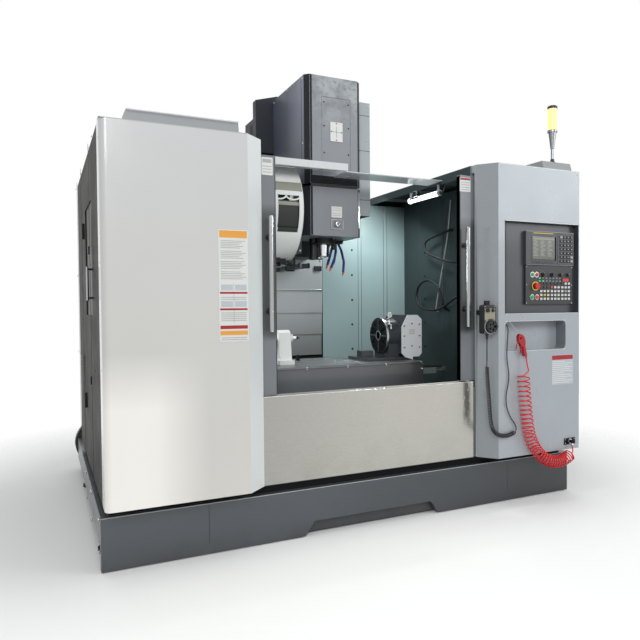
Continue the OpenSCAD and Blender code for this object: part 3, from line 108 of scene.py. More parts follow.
def make_camera():
    forward = Vector((math.sin(YAW) * math.cos(PITCH), math.cos(YAW) * math.cos(PITCH), math.sin(PITCH)))
    right = Vector((math.cos(YAW), -math.sin(YAW), 0))
    up = right.cross(forward)
    turned_right = right * math.cos(ROLL) + up * math.sin(ROLL)
    turned_up = up * math.cos(ROLL) - right * math.sin(ROLL)
    data = bpy.data.cameras.new("camera")
    data.sensor_width = SENSOR_MM
    data.lens = FOCAL_PX / PHOTO_SIZE * SENSOR_MM
    data.shift_x = -(CENTRE_PX[0] - PHOTO_SIZE / 2) / PHOTO_SIZE
    data.shift_y = (CENTRE_PX[1] - PHOTO_SIZE / 2) / PHOTO_SIZE
    data.clip_end = 60
    camera = show(bpy.data.objects.new("camera", data))
    axes = Matrix((turned_right, turned_up, -forward)).transposed()
    camera.matrix_world = Matrix.Translation(CAMERA_AT) @ axes.to_4x4()
    bpy.context.scene.camera = camera


make_camera()
bpy.context.scene.view_settings.view_transform = "Standard"


# Materials

# The colour sockets of a mix node
MIX_A = 6
MIX_B = 7
MIX_RESULT = 2


class Shader:
    """A node material that is built step by step on one Principled shader."""

    def __init__(self, name, code, roughness=0.5, metallic=0.0, coat=0.0):
        self.mat = bpy.data.materials.new(name)
        self.mat.use_nodes = True
        self.tree = self.mat.node_tree
        self.bsdf = self.tree.nodes["Principled BSDF"]
        self.color = srgb(code)
        self.roughness = roughness
        self.put("Base Color", self.color)
        self.put("Roughness", roughness)
        self.put("Metallic", metallic)
        self.put("Coat Weight", coat)
        self.put("Coat Roughness", 0.08)
        self.color_out = None
        self.normal_out = None
        self.coord = self.node("ShaderNodeTexCoord").outputs["Object"]

    def put(self, socket, value):
        """Sets an input of the Principled shader."""
        self.bsdf.inputs[socket].default_value = value
        return self

    def node(self, kind, **settings):
        made = self.tree.nodes.new(kind)
        for key, value in settings.items():
            setattr(made, key, value)
        return made

    def link(self, a, b):
        self.tree.links.new(a, b)

    def noise(self, scale, detail=3.0, stretch=None):
        made = self.node("ShaderNodeTexNoise")
        made.inputs["Scale"].default_value = scale
        made.inputs["Detail"].default_value = detail
        coord = self.coord
        if stretch:
            mapping = self.node("ShaderNodeMapping")
            mapping.inputs["Scale"].default_value = stretch
            self.link(coord, mapping.inputs["Vector"])
            coord = mapping.outputs["Vector"]
        self.link(coord, made.inputs["Vector"])
        return made.outputs["Fac"]

    def remap(self, value, low, high, to_low=0.0, to_high=1.0):
        made = self.node("ShaderNodeMapRange")
        for key, number in zip(("From Min", "From Max", "To Min", "To Max"), (low, high, to_low, to_high)):
            made.inputs[key].default_value = number
        self.link(value, made.inputs["Value"])
        return made.outputs["Result"]

    def times(self, a, b):
        made = self.node("ShaderNodeMath", operation="MULTIPLY")
        self.link(a, made.inputs[0])
        self.link(b, made.inputs[1])
        return made.outputs[0]

    def tint(self, mask, code):
        """Blends the colour towards another where the mask is 1."""
        mix = self.node("ShaderNodeMix", data_type="RGBA")
        if self.color_out is None:
            mix.inputs[MIX_A].default_value = self.color
        else:
            self.link(self.color_out, mix.inputs[MIX_A])
        mix.inputs[MIX_B].default_value = srgb(code) if isinstance(code, str) else code
        self.link(mask, mix.inputs[0])
        self.color_out = mix.outputs[MIX_RESULT]
        self.link(self.color_out, self.bsdf.inputs["Base Color"])
        return self

    def mottle(self, scale, amount, stretch=None, dark=0.6):
        """Broad, faint changes of tone over the surface."""
        shade = tuple(c * dark for c in self.color[:3]) + (1,)
        return self.tint(self.remap(self.noise(scale, 4, stretch), 0.3, 0.75, 0, amount), shade)

    def rough(self, scale, spread, stretch=None):
        low = max(0.02, self.roughness - spread)
        value = self.remap(self.noise(scale, 3, stretch), 0.3, 0.7, low, self.roughness + spread)
        self.link(value, self.bsdf.inputs["Roughness"])
        return self

    def bump(self, scale, strength, distance=0.001, stretch=None):
        made = self.node("ShaderNodeBump")
        made.inputs["Strength"].default_value = strength
        made.inputs["Distance"].default_value = distance
        self.link(self.noise(scale, 3, stretch), made.inputs["Height"])
        if self.normal_out is not None:
            self.link(self.normal_out, made.inputs["Normal"])
        return self.shade_by(made)

    def shade_by(self, made):
        self.normal_out = made.outputs["Normal"]
        self.link(self.normal_out, self.bsdf.inputs["Normal"])
        return self

    def bevelled(self, radius):
        made = self.node("ShaderNodeBevel", samples=4)
        made.inputs["Radius"].default_value = radius
        return made

    def edges(self, radius):
        """Rounds the sharp edges in the shading; it comes before any bump."""
        return self.shade_by(self.bevelled(radius))

    def wear(self, radius, code, amount):
        """Changes the colour along worn edges."""
        dot = self.node("ShaderNodeVectorMath", operation="DOT_PRODUCT")
        self.link(self.bevelled(radius).outputs["Normal"], dot.inputs[0])
        self.link(self.node("ShaderNodeNewGeometry").outputs["True Normal"], dot.inputs[1])
        mask = self.remap(dot.outputs["Value"], 0.995, 0.9, 0, amount)
        return self.tint(self.times(mask, self.remap(self.noise(60), 0.35, 0.65)), code)

    def span_mask(self, axis, low, high, to_low, to_high):
        """A smooth step along one axis, in metres."""
        split = self.node("ShaderNodeSeparateXYZ")
        self.link(self.coord, split.inputs[0])
        return self.remap(split.outputs[axis], low, high, to_low, to_high)

    def fade(self, axis, low, high, to_low, to_high, code):
        """Blends the colour towards another along one axis."""
        return self.tint(self.span_mask(axis, low, high, to_low, to_high), code)

    def cross_fade(self, first, second, code):
        """Blends the colour where two spans overlap."""
        return self.tint(self.times(self.span_mask(*first), self.span_mask(*second)), code)

    def blotches_by_height(self, low, high, code, amount, grain=(7, 6), spread=(0.3, 0.7), ends=(1, 0)):
        """Blotches that fade with height."""
        blotches = self.remap(self.noise(*grain), *spread, 0, amount)
        return self.tint(self.times(self.span_mask("Z", low, high, *ends), blotches), code)

    def dull(self, level):
        """Less mirror at a glance, for dark paints."""
        return self.put("Specular IOR Level", level)

    def glow(self, code, strength):
        return self.put("Emission Color", srgb(code)).put("Emission Strength", strength)


def paint(name, code, roughness, coat=0.0, dark=0.75, amount=0.25, peel=0.06):
    """Sprayed paint: faint tone changes and a fine orange peel."""
    shader = Shader(name, code, roughness, 0.0, coat).edges(0.003)
    return shader.mottle(1.7, amount, dark=dark).rough(5, 0.05).bump(420, peel, 0.0004)


def plastic(name, code, roughness=0.5, texture=0.15):
    shader = Shader(name, code, roughness).edges(0.001)
    return shader.mottle(9, 0.2, dark=0.8).rough(20, 0.06).bump(1600, texture, 0.0002)


def metal(name, code, roughness, stretch=None, amount=0.3, grain=0.1, dark=0.6):
    """Bare metal; a stretch gives its grain a direction."""
    shader = Shader(name, code, roughness, 1.0).edges(0.0015)
    return shader.mottle(3, amount, dark=dark).rough(60, 0.08, stretch).bump(300, grain, 0.0002, stretch)


DIRT = "#2b2822"
# Colour, roughness, coat, depth of the darker tone, its amount and the orange peel
PAINTS = {
    "header": ("#cdcfd0", 0.3, 0.3, 0.9, 0.3),
    "tray": ("#6c7576", 0.45, 0.0, 0.7, 0.6),
    "console_grey": ("#3f4246", 0.4, 0.15, 0.8, 0.3),
    "console_shade": ("#2c2e31", 0.4, 0.15, 0.8, 0.3),
    "tail": ("#dcdedb", 0.35, 0.3, 0.88, 0.3),
    "rotary": ("#2e3236", 0.36, 0.3, 0.7, 0.4, 0.2),
    "rotary_pale": ("#d8dcde", 0.36, 0.3, 0.85, 0.3),
    "head_rim": ("#b4b9bc", 0.3, 0.3, 0.85, 0.3),
    "duct_grey": ("#9da4a8", 0.34, 0.3, 0.82, 0.4),
    # Painted shade for the pocket's inner walls
    "pocket_grey": ("#71767c", 0.36, 0.2, 0.82, 0.3),
    "rim_white": ("#d9dcdb", 0.34, 0.3, 0.88, 0.3),
    "seam": ("#4a5455", 0.5, 0.0, 0.8, 0.3),
    "cabinet_shade": ("#878c90", 0.3, 0.3, 0.9, 0.3, 0.04),
    "drum_olive": ("#8a8c80", 0.34, 0.2, 0.85, 0.3),
}
# Colour, roughness and texture
PLASTICS = {
    "console": ("#25272a", 0.42, 0.3),
    "bezel": ("#3a3d41", 0.4, 0.25),
    "black": ("#161718", 0.42),
    "white_plastic": ("#e4e5e2", 0.42),
    "key_white": ("#dcdcd6", 0.45),
    "key_grey": ("#9fa19f", 0.45),
    "key_yellow": ("#d8b81f", 0.45),
    "key_ivory": ("#cfcfc4", 0.4, 0.1),
    "red": ("#c4151f", 0.28, 0.05),
    "green": ("#17a04a", 0.28, 0.05),
    "yellow": ("#e8c21a", 0.35, 0.05),
    "blue": ("#20287e", 0.35, 0.1),
    "orange": ("#e2702c", 0.4, 0.1),
    "label": ("#d5d6d2", 0.38, 0.05),
    "label_red": ("#9d1420", 0.4, 0.05),
    "label_orange": ("#dc9a3c", 0.4, 0.05),
    "label_grey": ("#a3a6a6", 0.4, 0.05),
    "plate_tone": ("#b4babf", 0.36, 0.05),
    "dot_red": ("#d2443c", 0.4, 0.05),
    "dot_blue": ("#3a6fb0", 0.4, 0.05),
    "dot_green": ("#3f9d5b", 0.4, 0.05),
    "pendant_beige": ("#8f8a78", 0.42, 0.2),
    "cable": ("#232426", 0.36, 0.1),
}
# Colour, roughness, stretch of the grain, amount of the darker tone, grain and its depth
METALS = {
    "screw": ("#b4b7b9", 0.22, (80, 1, 1), 0.2),
    "chrome": ("#dfe1e3", 0.1, None, 0.08, 0.02, 0.85),
    "brushed_tube": ("#a9acad", 0.16, (30, 30, 1), 0.12, 0.05, 0.85),
    "foot": ("#2b2d30", 0.42, None, 0.4),
    "cover_edge": ("#d5d9da", 0.26, (60, 2, 2), 0.2, 0.05, 0.8),
    "brass": ("#b98f4a", 0.3, None, 0.3),
    "lamp_cone": ("#8d9093", 0.3, (1, 1, 30), 0.25, 0.06),
}


def stainless():
    """Brushed sheet with a painted dark reflection near its right end."""
    steel = metal("brushed_stainless", "#bab8b1", 0.3, (0.4, 60, 60), 0.12, 0.12, 0.85)
    steel.fade("X", -0.7, 0.1, 0.45, 0, "#8b8c8b")
    ragged = steel.remap(steel.noise(11, 4, (4, 1, 1.6)), 0.36, 0.46)
    # A painted reflection: a ragged dark band near the right end, over the upper part
    dark_reflection = steel.times(steel.span_mask("X", 0.64, 0.665, 0, 1), steel.span_mask("X", 0.69, 0.71, 1, 0))
    dark_reflection = steel.times(steel.times(dark_reflection, ragged), steel.span_mask("Z", 0.52, 0.62, 0, 0.7))
    return steel.tint(dark_reflection, "#3f3b30").blotches_by_height(0.32, 0.6, "#8f8c84", 0.3)


def table_metal():
    table = metal("ground_table", "#8e9294", 0.34, (6, 90, 6), 0.5, 0.15, 0.55).wear(0.003, "#c8cbcc", 0.6)
    return table.tint(table.remap(table.noise(11, 8), 0.55, 0.75, 0, 0.5), "#4c4a45")


def cooler_grille():
    """Pale fins on black, as waves over the height."""
    grille = paint("cooler_grille", "#232527", 0.5, 0.0, 0.8, 0.3)
    waves = grille.node("ShaderNodeMath", operation="SINE")
    grille.link(grille.span_mask("Z", 0.0, 3.0, 0.0, 860.0), waves.inputs[0])
    return grille.tint(grille.remap(waves.outputs[0], -0.1, 0.2), "#9a9d9f")


def enclosure_materials():
    white = paint("white_gloss_paint", "#c6c5c1", 0.2, 0.5, 0.93, 0.35, 0.03)
    # Painted light: a warm painted highlight low on the left, a warmer painted sheen low on the right, and
    # painted shade, greyer towards the top
    white.cross_fade(("X", -1.28, -1.02, 1, 0), ("Z", 0.82, 1.1, 0.85, 0), "#f3efe8")
    white.cross_fade(("X", -1.35, -0.8, 0, 1), ("Z", 0.3, 1.1, 0.7, 0), "#cbc6bf")
    base = paint("base_paint", "#474b50", 0.36, 0.25, 0.8, 0.5).blotches_by_height(0.0, 0.12, "#2b2a28", 0.6)
    base.fade("X", -0.4, 1.4, 0, 0.9, "#2b2e32")
    # Darker over the height of the pane
    door = paint("door_paint", "#6f7377", 0.34, 0.2, 0.85, 0.3)
    door.cross_fade(("Z", 1.13, 1.17, 0, 1), ("Z", 1.84, 1.9, 0.7, 0), "#2b2c2b")
    olive = paint("olive_side_paint", "#2b2d29", 0.5, 0.0, 0.7, 0.5).dull(0.06)
    cabinet = paint("cabinet_paint", "#a0a6aa", 0.3, 0.3, 0.93, 0.3, 0.04)
    roof = paint("roof_paint", "#8e9193", 0.42, 0.2, 0.85, 0.4)
    inner = paint("inner_paint", "#90a4a6", 0.36, 0.2, 0.85, 0.4)
    # A shaded copy of the inner paint: painted shade for the right wall and the roof's undersides
    inner_right = paint("inner_shade_paint", "#394547", 0.42, 0.0, 0.7, 0.5).dull(0.2)
    pane = Shader("dark_pane", "#111414", 0.05, 0.0, 1.0).mottle(2, 0.5, dark=0.4)
    return {
        # Painted shade: the left guard greyer towards the top
        "white": white.fade("Z", 1.3, 2.2, 0, 0.5, "#bcbfc3"),
        "base": base.wear(0.005, "#8b8f92", 0.5),
        "door": door,
        "olive": olive.blotches_by_height(0.3, 1.1, DIRT, 0.5),
        # Darker, bluer blotches low down
        "cabinet": cabinet.blotches_by_height(0.3, 1.5, "#989fa8", 0.6),
        "roof": roof.blotches_by_height(2.2, 2.3, "#8d9092", 0.25),
        # Painted shade: the inner walls darker towards the top, under the roof
        "inner": inner.fade("Z", 1.78, 2.16, 0, 0.8, "#46504f"),
        "inner_right": inner_right.blotches_by_height(0.8, 1.3, DIRT, 0.4),
        "pane": pane.bump(2.2, 0.05, 0.01),
        "stainless": stainless(),
        "grille": cooler_grille(),
        # Painted shadow: near black for the recessed plinth in the gap under the guards
        "plinth": paint("plinth_paint", "#1b1c1e", 0.6, 0.0, 0.7, 0.5).dull(0.1),
        "base_deep": paint("tank_paint", "#3c4044", 0.4, 0.2, 0.7, 0.5).blotches_by_height(0.1, 0.5, DIRT, 0.4),
        "black_mat": paint("dark_film", "#0b0c0c", 0.4, 0.0, 0.7, 0.3).dull(0.15),
    }


def machine_materials():
    head = paint("head_paint", "#83878c", 0.42, 0.15, 0.72, 0.55, 0.1)
    # Scuffed towards the top
    head.blotches_by_height(2.45, 2.75, "#a2a6a8", 0.8, (9, 6), (0.42, 0.62), (0, 1))
    head.blotches_by_height(2.5, 2.8, "#5b5e62", 0.6, (34, 8), (0.55, 0.68), (0, 1))
    # The head's left side, with painted light: lighter to the front, and a painted reflection that leaves it
    # lighter towards the top, darker low down
    slate = paint("head_slate_paint", "#4d525e", 0.42, 0.0, 0.8, 0.4).dull(0.2)
    slate.fade("Y", -0.42, -0.15, 0.75, 0, "#888c9a")
    cover = metal("telescopic_plate", "#b4b8ba", 0.42, (1, 1, 12), 0.3, 0.1, 0.75).put("Metallic", 0.45)
    guard = paint("table_guard_paint", "#63666a", 0.34, 0.3, 0.85, 0.3)
    cast = paint("cast_paint", "#5a5f63", 0.5, 0.0, 0.7, 0.5, 0.5)
    dark_cast = paint("cast_dark_paint", "#26282b", 0.5, 0.0, 0.7, 0.5, 0.4)
    return {
        "head": head.wear(0.004, "#a9adb0", 0.5),
        "head_slate": slate.fade("Z", 2.1, 2.75, 0.85, 0, "#2b2e35"),
        "head_dark": paint("head_dark_paint", "#2c2f34", 0.45, 0.0, 0.7, 0.4, 0.1).dull(0.15),
        "head_shade": paint("head_shade_paint", "#26282c", 0.5, 0.0, 0.7, 0.4, 0.1).dull(0.12),
        "cover": cover.fade("Z", 0.95, 1.35, 0.6, 0, "#5f6366"),
        "guard": guard.fade("X", 0.1, 0.55, 0, 0.75, "#232527"),
        "cast": cast.bump(90, 0.25, 0.0015),
        "cast_dark": dark_cast.bump(90, 0.2, 0.0012).wear(0.004, "#55585b", 0.5),
        "table": table_metal(),
        "motor": paint("motor_black", "#1f2124", 0.42, 0.1, 0.6, 0.5).blotches_by_height(0, 0.5, DIRT, 0.5),
        "gun": paint("gun_paint", "#a50e1e", 0.3, 0.1, 0.75, 0.3).wear(0.0015, "#8c8f92", 0.35),
    }


def soft_and_lit_materials():
    tube = Shader("led_tube", "#f4f8f6", 0.3).mottle(4, 0.1, dark=0.9)
    lens = Shader("lamp_lens", "#f3cf6a", 0.25, 0.0, 0.6).mottle(20, 0.4, (1, 1, 8), 0.8)
    hose = Shader("red_tube", "#d3131c", 0.3, 0.0, 0.2).put("Subsurface Weight", 0.1)
    return {
        "rubber": Shader("black_rubber", "#19191a", 0.62).mottle(14, 0.4).bump(900, 0.3, 0.0003),
        "hose": hose.mottle(30, 0.25, dark=0.8),
        "cord_gloss": Shader("cord_gloss", "#101011", 0.24, 0.0, 0.35).mottle(40, 0.3, dark=0.7),
        "light": tube.glow("#f2fbff", 3),
        "lens": lens.glow("#ffdc96", 0.7),
        "screen_glass": Shader("screen_glass", "#0b0f10", 0.06, 0.0, 1.0).mottle(3, 0.3),
        "screen": Shader("screen_lit", "#5b5d55", 0.25).mottle(30, 0.3).glow("#6f7168", 0.12),
        "screen_bar": Shader("screen_bar", "#7b7d72", 0.3).mottle(60, 0.2).glow("#8a8c80", 0.15),
        "screen_text": Shader("screen_text", "#8f9188", 0.3).mottle(60, 0.2).glow("#a3a59b", 0.15),
        "led_red": Shader("led_red", "#e0483c", 0.4).mottle(50, 0.2).glow("#ff3020", 0.8),
        "led_green": Shader("led_green", "#59d36d", 0.4).mottle(50, 0.2).glow("#43e06a", 0.8),
    }


def make_materials():
    made = {}
    for kind, rows in ((paint, PAINTS), (plastic, PLASTICS), (metal, METALS)):
        made.update((key, kind(key, *values)) for key, values in rows.items())
    made.update({**enclosure_materials(), **machine_materials(), **soft_and_lit_materials()})
    return {key: shader.mat for key, shader in made.items()}


MAT = make_materials()

NODE_MATERIALS = {
    "cast": "bed saddle", "cast_dark": "column arm_drive head_casting", "base": "base_skirts coolant_tank",
    "foot": "leveling_feet rotary_faceplate tool_arm", "tray": "chip_tray", "stainless": "front_panel",
    "motor": "servo_motors auger_motor spindle_motor tool_disc", "white": "left_guard",
    "olive": "left_side_panel right_side_panel side_door", "cabinet": "right_cabinet",
    "inner": "inner_walls", "roof": "roof_panels electrical_cabinet", "header": "roof_header",
    "console": "operator_panel", "bezel": "display_unit", "lens": "signal_lamp", "light": "work_light",
    "black": "pendant_body mode_knob feed_knob pendant_wheel pendant_dial", "gun": "air_gun trigger",
    "tail": "magazine_cover tailstock", "screw": "x_screw y_screw z_screw", "table": "table",
    "guard": "table_guard", "rotary": "rotary_unit", "head": "upper_head_cover lower_head_cover",
    "chrome": "spindle", "blue": "coolant_nozzles", "cover": "z_cover_low z_cover_mid z_cover_top",
    "door": "left_door right_door", "red": "e_stop red_button", "green": "green_button",
    "rubber": "pendant_cord_ends pendant_cord_curl", "hose": "air_hose_end air_hose_curl",
}


def dress_nodes():
    for key, nodes in NODE_MATERIALS.items():
        for name in nodes.split():
            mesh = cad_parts[name].data
            mesh.materials.clear()
            mesh.materials.append(MAT[key])


dress_nodes()


# Building pieces. Places, radii, heights and thicknesses are in millimetres; bevels are in metres.

def add_mesh(name, bm, material, body, smooth=False):
    mesh = bpy.data.meshes.new(name)
    bm.to_mesh(mesh)
    bm.free()
    mesh.materials.append(MAT[material])
    obj = show(bpy.data.objects.new(name, mesh))
    for face in mesh.polygons:
        face.use_smooth = smooth
    if body:
        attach(obj, body)
    return obj


def bevel(obj, width):
    made = obj.modifiers.new("bevel", "BEVEL")
    made.width = width
    made.segments = 2
    made.limit_method = "ANGLE"
    return obj


def skin(bm, rings, loop=False, floor=True, lid=True):
    """Faces between neighbouring rings of vertices, closed as a loop or with flat ends."""
    count = len(rings[0])
    for a, b in zip(rings, rings[1:] + rings[:1] if loop else rings[1:]):
        for k in range(count):
            after = (k + 1) % count
            bm.faces.new((a[k], a[after], b[after], b[k]))
    if lid and not loop:
        bm.faces.new(rings[-1])
    if floor and not loop:
        bm.faces.new(rings[0][::-1])


def boxes(name, sizes, material, round_by=0.0012, body="machine"):
    """One piece of several rounded boxes, each from two widths, two depths and two heights."""
    bm = bmesh.new()
    for x0, x1, d0, d1, z0, z1 in sizes:
        low, high = at(x0, d0, z0), at(x1, d1, z1)
        matrix = Matrix.Translation((low + high) / 2) @ Matrix.Diagonal((*(high - low), 1))
        bmesh.ops.create_cube(bm, size=1, matrix=matrix)
    return bevel(add_mesh(name, bm, material, body), round_by)


def marks(name, spans, face, out, material, round_by=0.0003, body="machine"):
    """Thin boxes before a face; a span is two widths and two heights, out two distances from the face."""
    depths = sorted(face - step for step in out)
    return boxes(name, [(x0, x1, *depths, z0, z1) for x0, x1, z0, z1 in spans], material, round_by, body)


def turn_to(direction):
    return Vector(direction).to_track_quat("Z", "Y").to_matrix().to_4x4()


def add_rod(bm, start, direction, radius, length, sides=24, top=None):
    """A round bar in metres, from its start along its direction; a top radius makes it a cone."""
    place = Matrix.Translation(start) @ turn_to(direction) @ Matrix.Translation((0, 0, length / 2))
    bmesh.ops.create_cone(
        bm, cap_ends=True, segments=sides, radius1=radius, radius2=radius if top is None else top,
        depth=length, matrix=place)


def rods(name, bars, material, body="machine", direction=UP, smooth=False):
    """One piece of bars, each a place, a radius, a length, the number of sides and perhaps a far radius."""
    bm = bmesh.new()
    for place, radius, length, sides, *top in bars:
        add_rod(bm, at(*place), direction, radius / 1000, length / 1000, sides, *(r / 1000 for r in top))
    return add_mesh(name, bm, material, body, smooth)


def disc(name, place, radius, height, material, body):
    return bevel(rods(name, [(place, radius, height, 28)], material, body, FRONT), 0.0003)


def add_turned(bm, place, direction, profile, sides=40, **ends):
    """A turned surface from (radius, height) pairs."""
    turn = Matrix.Translation(at(*place)) @ turn_to(direction)
    angles = [2 * math.pi * k / sides for k in range(sides)]
    skin(bm, [[bm.verts.new(turn @ (Vector((r * math.cos(a), r * math.sin(a), h)) / 1000)) for a in angles]
              for r, h in profile], **ends)


def lathe(name, place, profile, material="chrome", body="machine", direction=FRONT):
    bm = bmesh.new()
    add_turned(bm, place, direction, profile)
    return bevel(add_mesh(name, bm, material, body), 0.0005)


def ring(name, place, outer, inner, height, material, body="machine", direction=FRONT):
    """A flat ring."""
    bm = bmesh.new()
    profile = ((outer, 0), (outer, height), (inner, height), (inner, 0))
    add_turned(bm, place, direction, profile, 96, loop=True)
    return bevel(add_mesh(name, bm, material, body), 0.0006)


def screws(name, places, radius, height, material="screw", body="machine", direction=FRONT):
    """One piece of cap screws' heads with sockets."""
    bm = bmesh.new()
    shape = ((1, 0), (1, 0.8), (0.85, 1), (0.5, 1), (0.5, 0.4))
    profile = [(radius * r, height * h) for r, h in shape]
    for place in places:
        add_turned(bm, place, direction, profile, 18, floor=False)
    return add_mesh(name, bm, material, body)


def rivets(name, places, radius, height, material="screw", body="machine", direction=FRONT):
    """One piece of low domed heads."""
    bm = bmesh.new()
    for place in places:
        flat = Matrix.Diagonal((radius / 1000, radius / 1000, height / 1000, 1))
        matrix = Matrix.Translation(at(*place)) @ turn_to(direction) @ flat
        bmesh.ops.create_uvsphere(bm, u_segments=12, v_segments=6, radius=1, matrix=matrix)
    return add_mesh(name, bm, material, body, True)


def rounded(w, h, r, steps=6):
    """The points of a rectangle with round corners, about its centre."""
    points = []
    for side_x, side_y, start in ((1, 1, 0), (-1, 1, 90), (-1, -1, 180), (1, -1, 270)):
        for k in range(steps + 1):
            a = math.radians(start + 90 * k / steps)
            points.append((side_x * (w / 2 - r) + r * math.cos(a), side_y * (h / 2 - r) + r * math.sin(a)))
    return points


def sheet(name, outline, centre, right, thickness, material, body="machine"):
    """An upright flat plate with an outline, given its centre and the direction of its width."""
    bm = bmesh.new()
    right, up = Vector(right).normalized(), Vector(UP)
    out = right.cross(up).normalized()
    back = [bm.verts.new(at(*centre) + right * (x / 1000) + up * (z / 1000)) for x, z in outline]
    skin(bm, [back, [bm.verts.new(v.co + out * (thickness / 1000)) for v in back]])
    return bevel(add_mesh(name, bm, material, body), 0.0004)


def plate(name, x, d, z, w, h, material, corner, body="machine", thickness=1.2):
    """A rounded plate that faces the front, standing on depth d."""
    return sheet(name, rounded(w, h, corner), (x, d, z), RIGHT, thickness, material, body)


def frame_strip(name, x, d, z, w, h, band, thickness, material, body, corner):
    """A rounded rectangular ring that faces the front."""
    bm = bmesh.new()
    outer, inner = rounded(w, h, corner), rounded(w - 2 * band, h - 2 * band, max(1, corner - band))
    steps = ((outer, 0), (outer, thickness), (inner, thickness), (inner, 0))
    rings = [[bm.verts.new(at(x + px, d - rise, z + pz)) for px, pz in outline] for outline, rise in steps]
    skin(bm, rings, loop=True)
    bmesh.ops.recalc_face_normals(bm, faces=bm.faces)
    return bevel(add_mesh(name, bm, material, body), 0.0006)


def around(centre, radius, count, start=0.0):
    """Evenly spaced points on a circle."""
    angles = [start + 2 * math.pi * k / count for k in range(count)]
    return [(centre[0] + radius * math.cos(a), centre[1] + radius * math.sin(a)) for a in angles]


def grid(widths, depth, heights):
    """Places in columns and rows on one depth."""
    return [(x, depth, z) for x in widths for z in heights]


def dial_dots(centre, radius, half, start, step, count):
    """Small squares round a dial, from start degrees past the top, as two widths and two heights."""
    squares = []
    for k in range(count):
        a = math.radians(start + step * k)
        x, z = centre[0] + radius * math.sin(a), centre[1] + radius * math.cos(a)
        squares.append((x - half, x + half, z - half, z + half))
    return squares


def smooth_route(points, steps):
    """More points on a smooth curve through the given ones."""
    pts = [points[0] * 2 - points[1]] + list(points) + [points[-1] * 2 - points[-2]]
    out = []
    for i in range(1, len(pts) - 2):
        a, b, c, e = pts[i - 1:i + 3]
        for k in range(steps):
            t = k / steps
            lower = 2 * b + (c - a) * t + (2 * a - 5 * b + 4 * c - e) * t * t
            out.append(0.5 * (lower + (3 * b - a - 3 * c + e) * t ** 3))
    out.append(points[-1].copy())
    return out


def length_of(points):
    return sum((b - a).length for a, b in zip(points, points[1:]))


def curve(name, points, radius, material, body="machine", sides=3):
    """A round tube along points; points and radius in metres."""
    data = bpy.data.curves.new(name, "CURVE")
    data.dimensions = "3D"
    data.bevel_depth = radius
    data.bevel_resolution = sides
    data.use_fill_caps = True
    spline = data.splines.new("POLY")
    spline.points.add(len(points) - 1)
    for point, co in zip(spline.points, points):
        point.co = (*co, 1)
    spline.use_smooth = True
    data.materials.append(MAT[material])
    obj = show(bpy.data.objects.new(name, data))
    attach(obj, body)
    return obj


def tube(name, points, steps, radius, material, body="machine", sides=3):
    """A smooth tube through a few places."""
    return curve(name, smooth_route(spots(points), steps), radius / 1000, material, body, sides)


def frames_along(points):
    """A point and two crosswise directions, all along a route."""
    out = []
    cross = None
    for i, p in enumerate(points):
        tangent = (points[min(i + 1, len(points) - 1)] - points[max(i - 1, 0)]).normalized()
        if cross is None:
            cross = tangent.orthogonal().normalized()
        cross = (cross - tangent * cross.dot(tangent)).normalized()
        out.append((p, cross, tangent.cross(cross)))
    return out


def resample(points, step):
    """Points at even distances along a route."""
    out = [points[0].copy()]
    left = step
    for a, b in zip(points, points[1:]):
        gap = (b - a).length
        walked = 0
        while gap - walked >= left:
            walked += left
            out.append(a.lerp(b, walked / gap))
            left = step
        left -= gap - walked
    return out


HELIX_PLACES = 2400


def helix(route, radius, turns, per_turn, spread=lambda share: share):
    """A coil round a route; spread turns a share of the coil's turns into a share of the route."""
    fine = smooth_route(route, 24)
    places = frames_along(resample(fine, length_of(fine) / HELIX_PLACES))
    count = int(turns * per_turn)
    points = []
    for i in range(count + 1):
        share = i / count
        k = min(len(places) - 1, int(round(spread(share) * (len(places) - 1))))
        p, a, b = places[k]
        angle = 2 * math.pi * turns * share
        points.append(p + a * (radius * math.cos(angle)) + b * (radius * math.sin(angle)))
    return points


def corrugated(name, points, radius, material, pitch, body=None):
    """A ribbed conduit through a few places."""
    bm = bmesh.new()
    sides = 16
    groove = 0.86
    angles = [2 * math.pi * k / sides for k in range(sides)]
    rings = []
    for i, (p, a, b) in enumerate(frames_along(resample(smooth_route(spots(points), 14), pitch / 2000))):
        r = radius / 1000 * (1 if i % 2 else groove)
        rings.append([bm.verts.new(p + a * (r * math.cos(t)) + b * (r * math.sin(t))) for t in angles])
    skin(bm, rings)
    return add_mesh(name, bm, material, body, True)


# Cords

PENDANT_TOP = spots((
    (762, -102, 1104), (757, -107, 1040), (755, -110, 980), (755, -110, 930)))
PENDANT_CURL = spots((
    (755, -110, 930), (757, -111, 870), (762, -112, 800), (766, -114, 740), (770, -115, 680),
    (774, -117, 620), (779, -120, 566), (790, -123, 528), (808, -126, 503), (840, -129, 485),
    (880, -129, 477), (925, -129, 480), (960, -129, 491)))
PENDANT_BACK = spots((
    (960, -129, 491), (974, -128, 502), (978, -127, 522), (966, -126, 550), (946, -125, 574),
    (930, -124, 600), (912, -124, 636), (901, -123, 676), (899, -122, 726), (905, -122, 766),
    (915, -122, 806), (922, -122, 865), (914, -122, 925), (906, -122, 985), (908, -122, 1060),
    (914, -122, 1130), (916, -120, 1172), (917, -108, 1192), (917, -80, 1200), (917, -50, 1200),
    (917, -23, 1200)))
HOSE_TOP = spots((
    (1044, -148, 978), (1047, -151, 950), (1051, -155, 915), (1054, -158, 890), (1054, -158, 869)))
HOSE_COIL = spots((
    (1014, -158, 867), (1018, -158, 800), (1024, -158, 730), (1031, -158, 660), (1040, -158, 590),
    (1050, -158, 525), (1066, -158, 465), (1092, -158, 408), (1132, -158, 352), (1184, -158, 306),
    (1240, -158, 278), (1300, -158, 268), (1360, -158, 275), (1416, -158, 298)))
HOSE_TAIL = spots((
    (1419, -158, 299), (1440, -156, 304), (1455, -149, 320), (1458, -142, 340), (1457, -141, 355)))
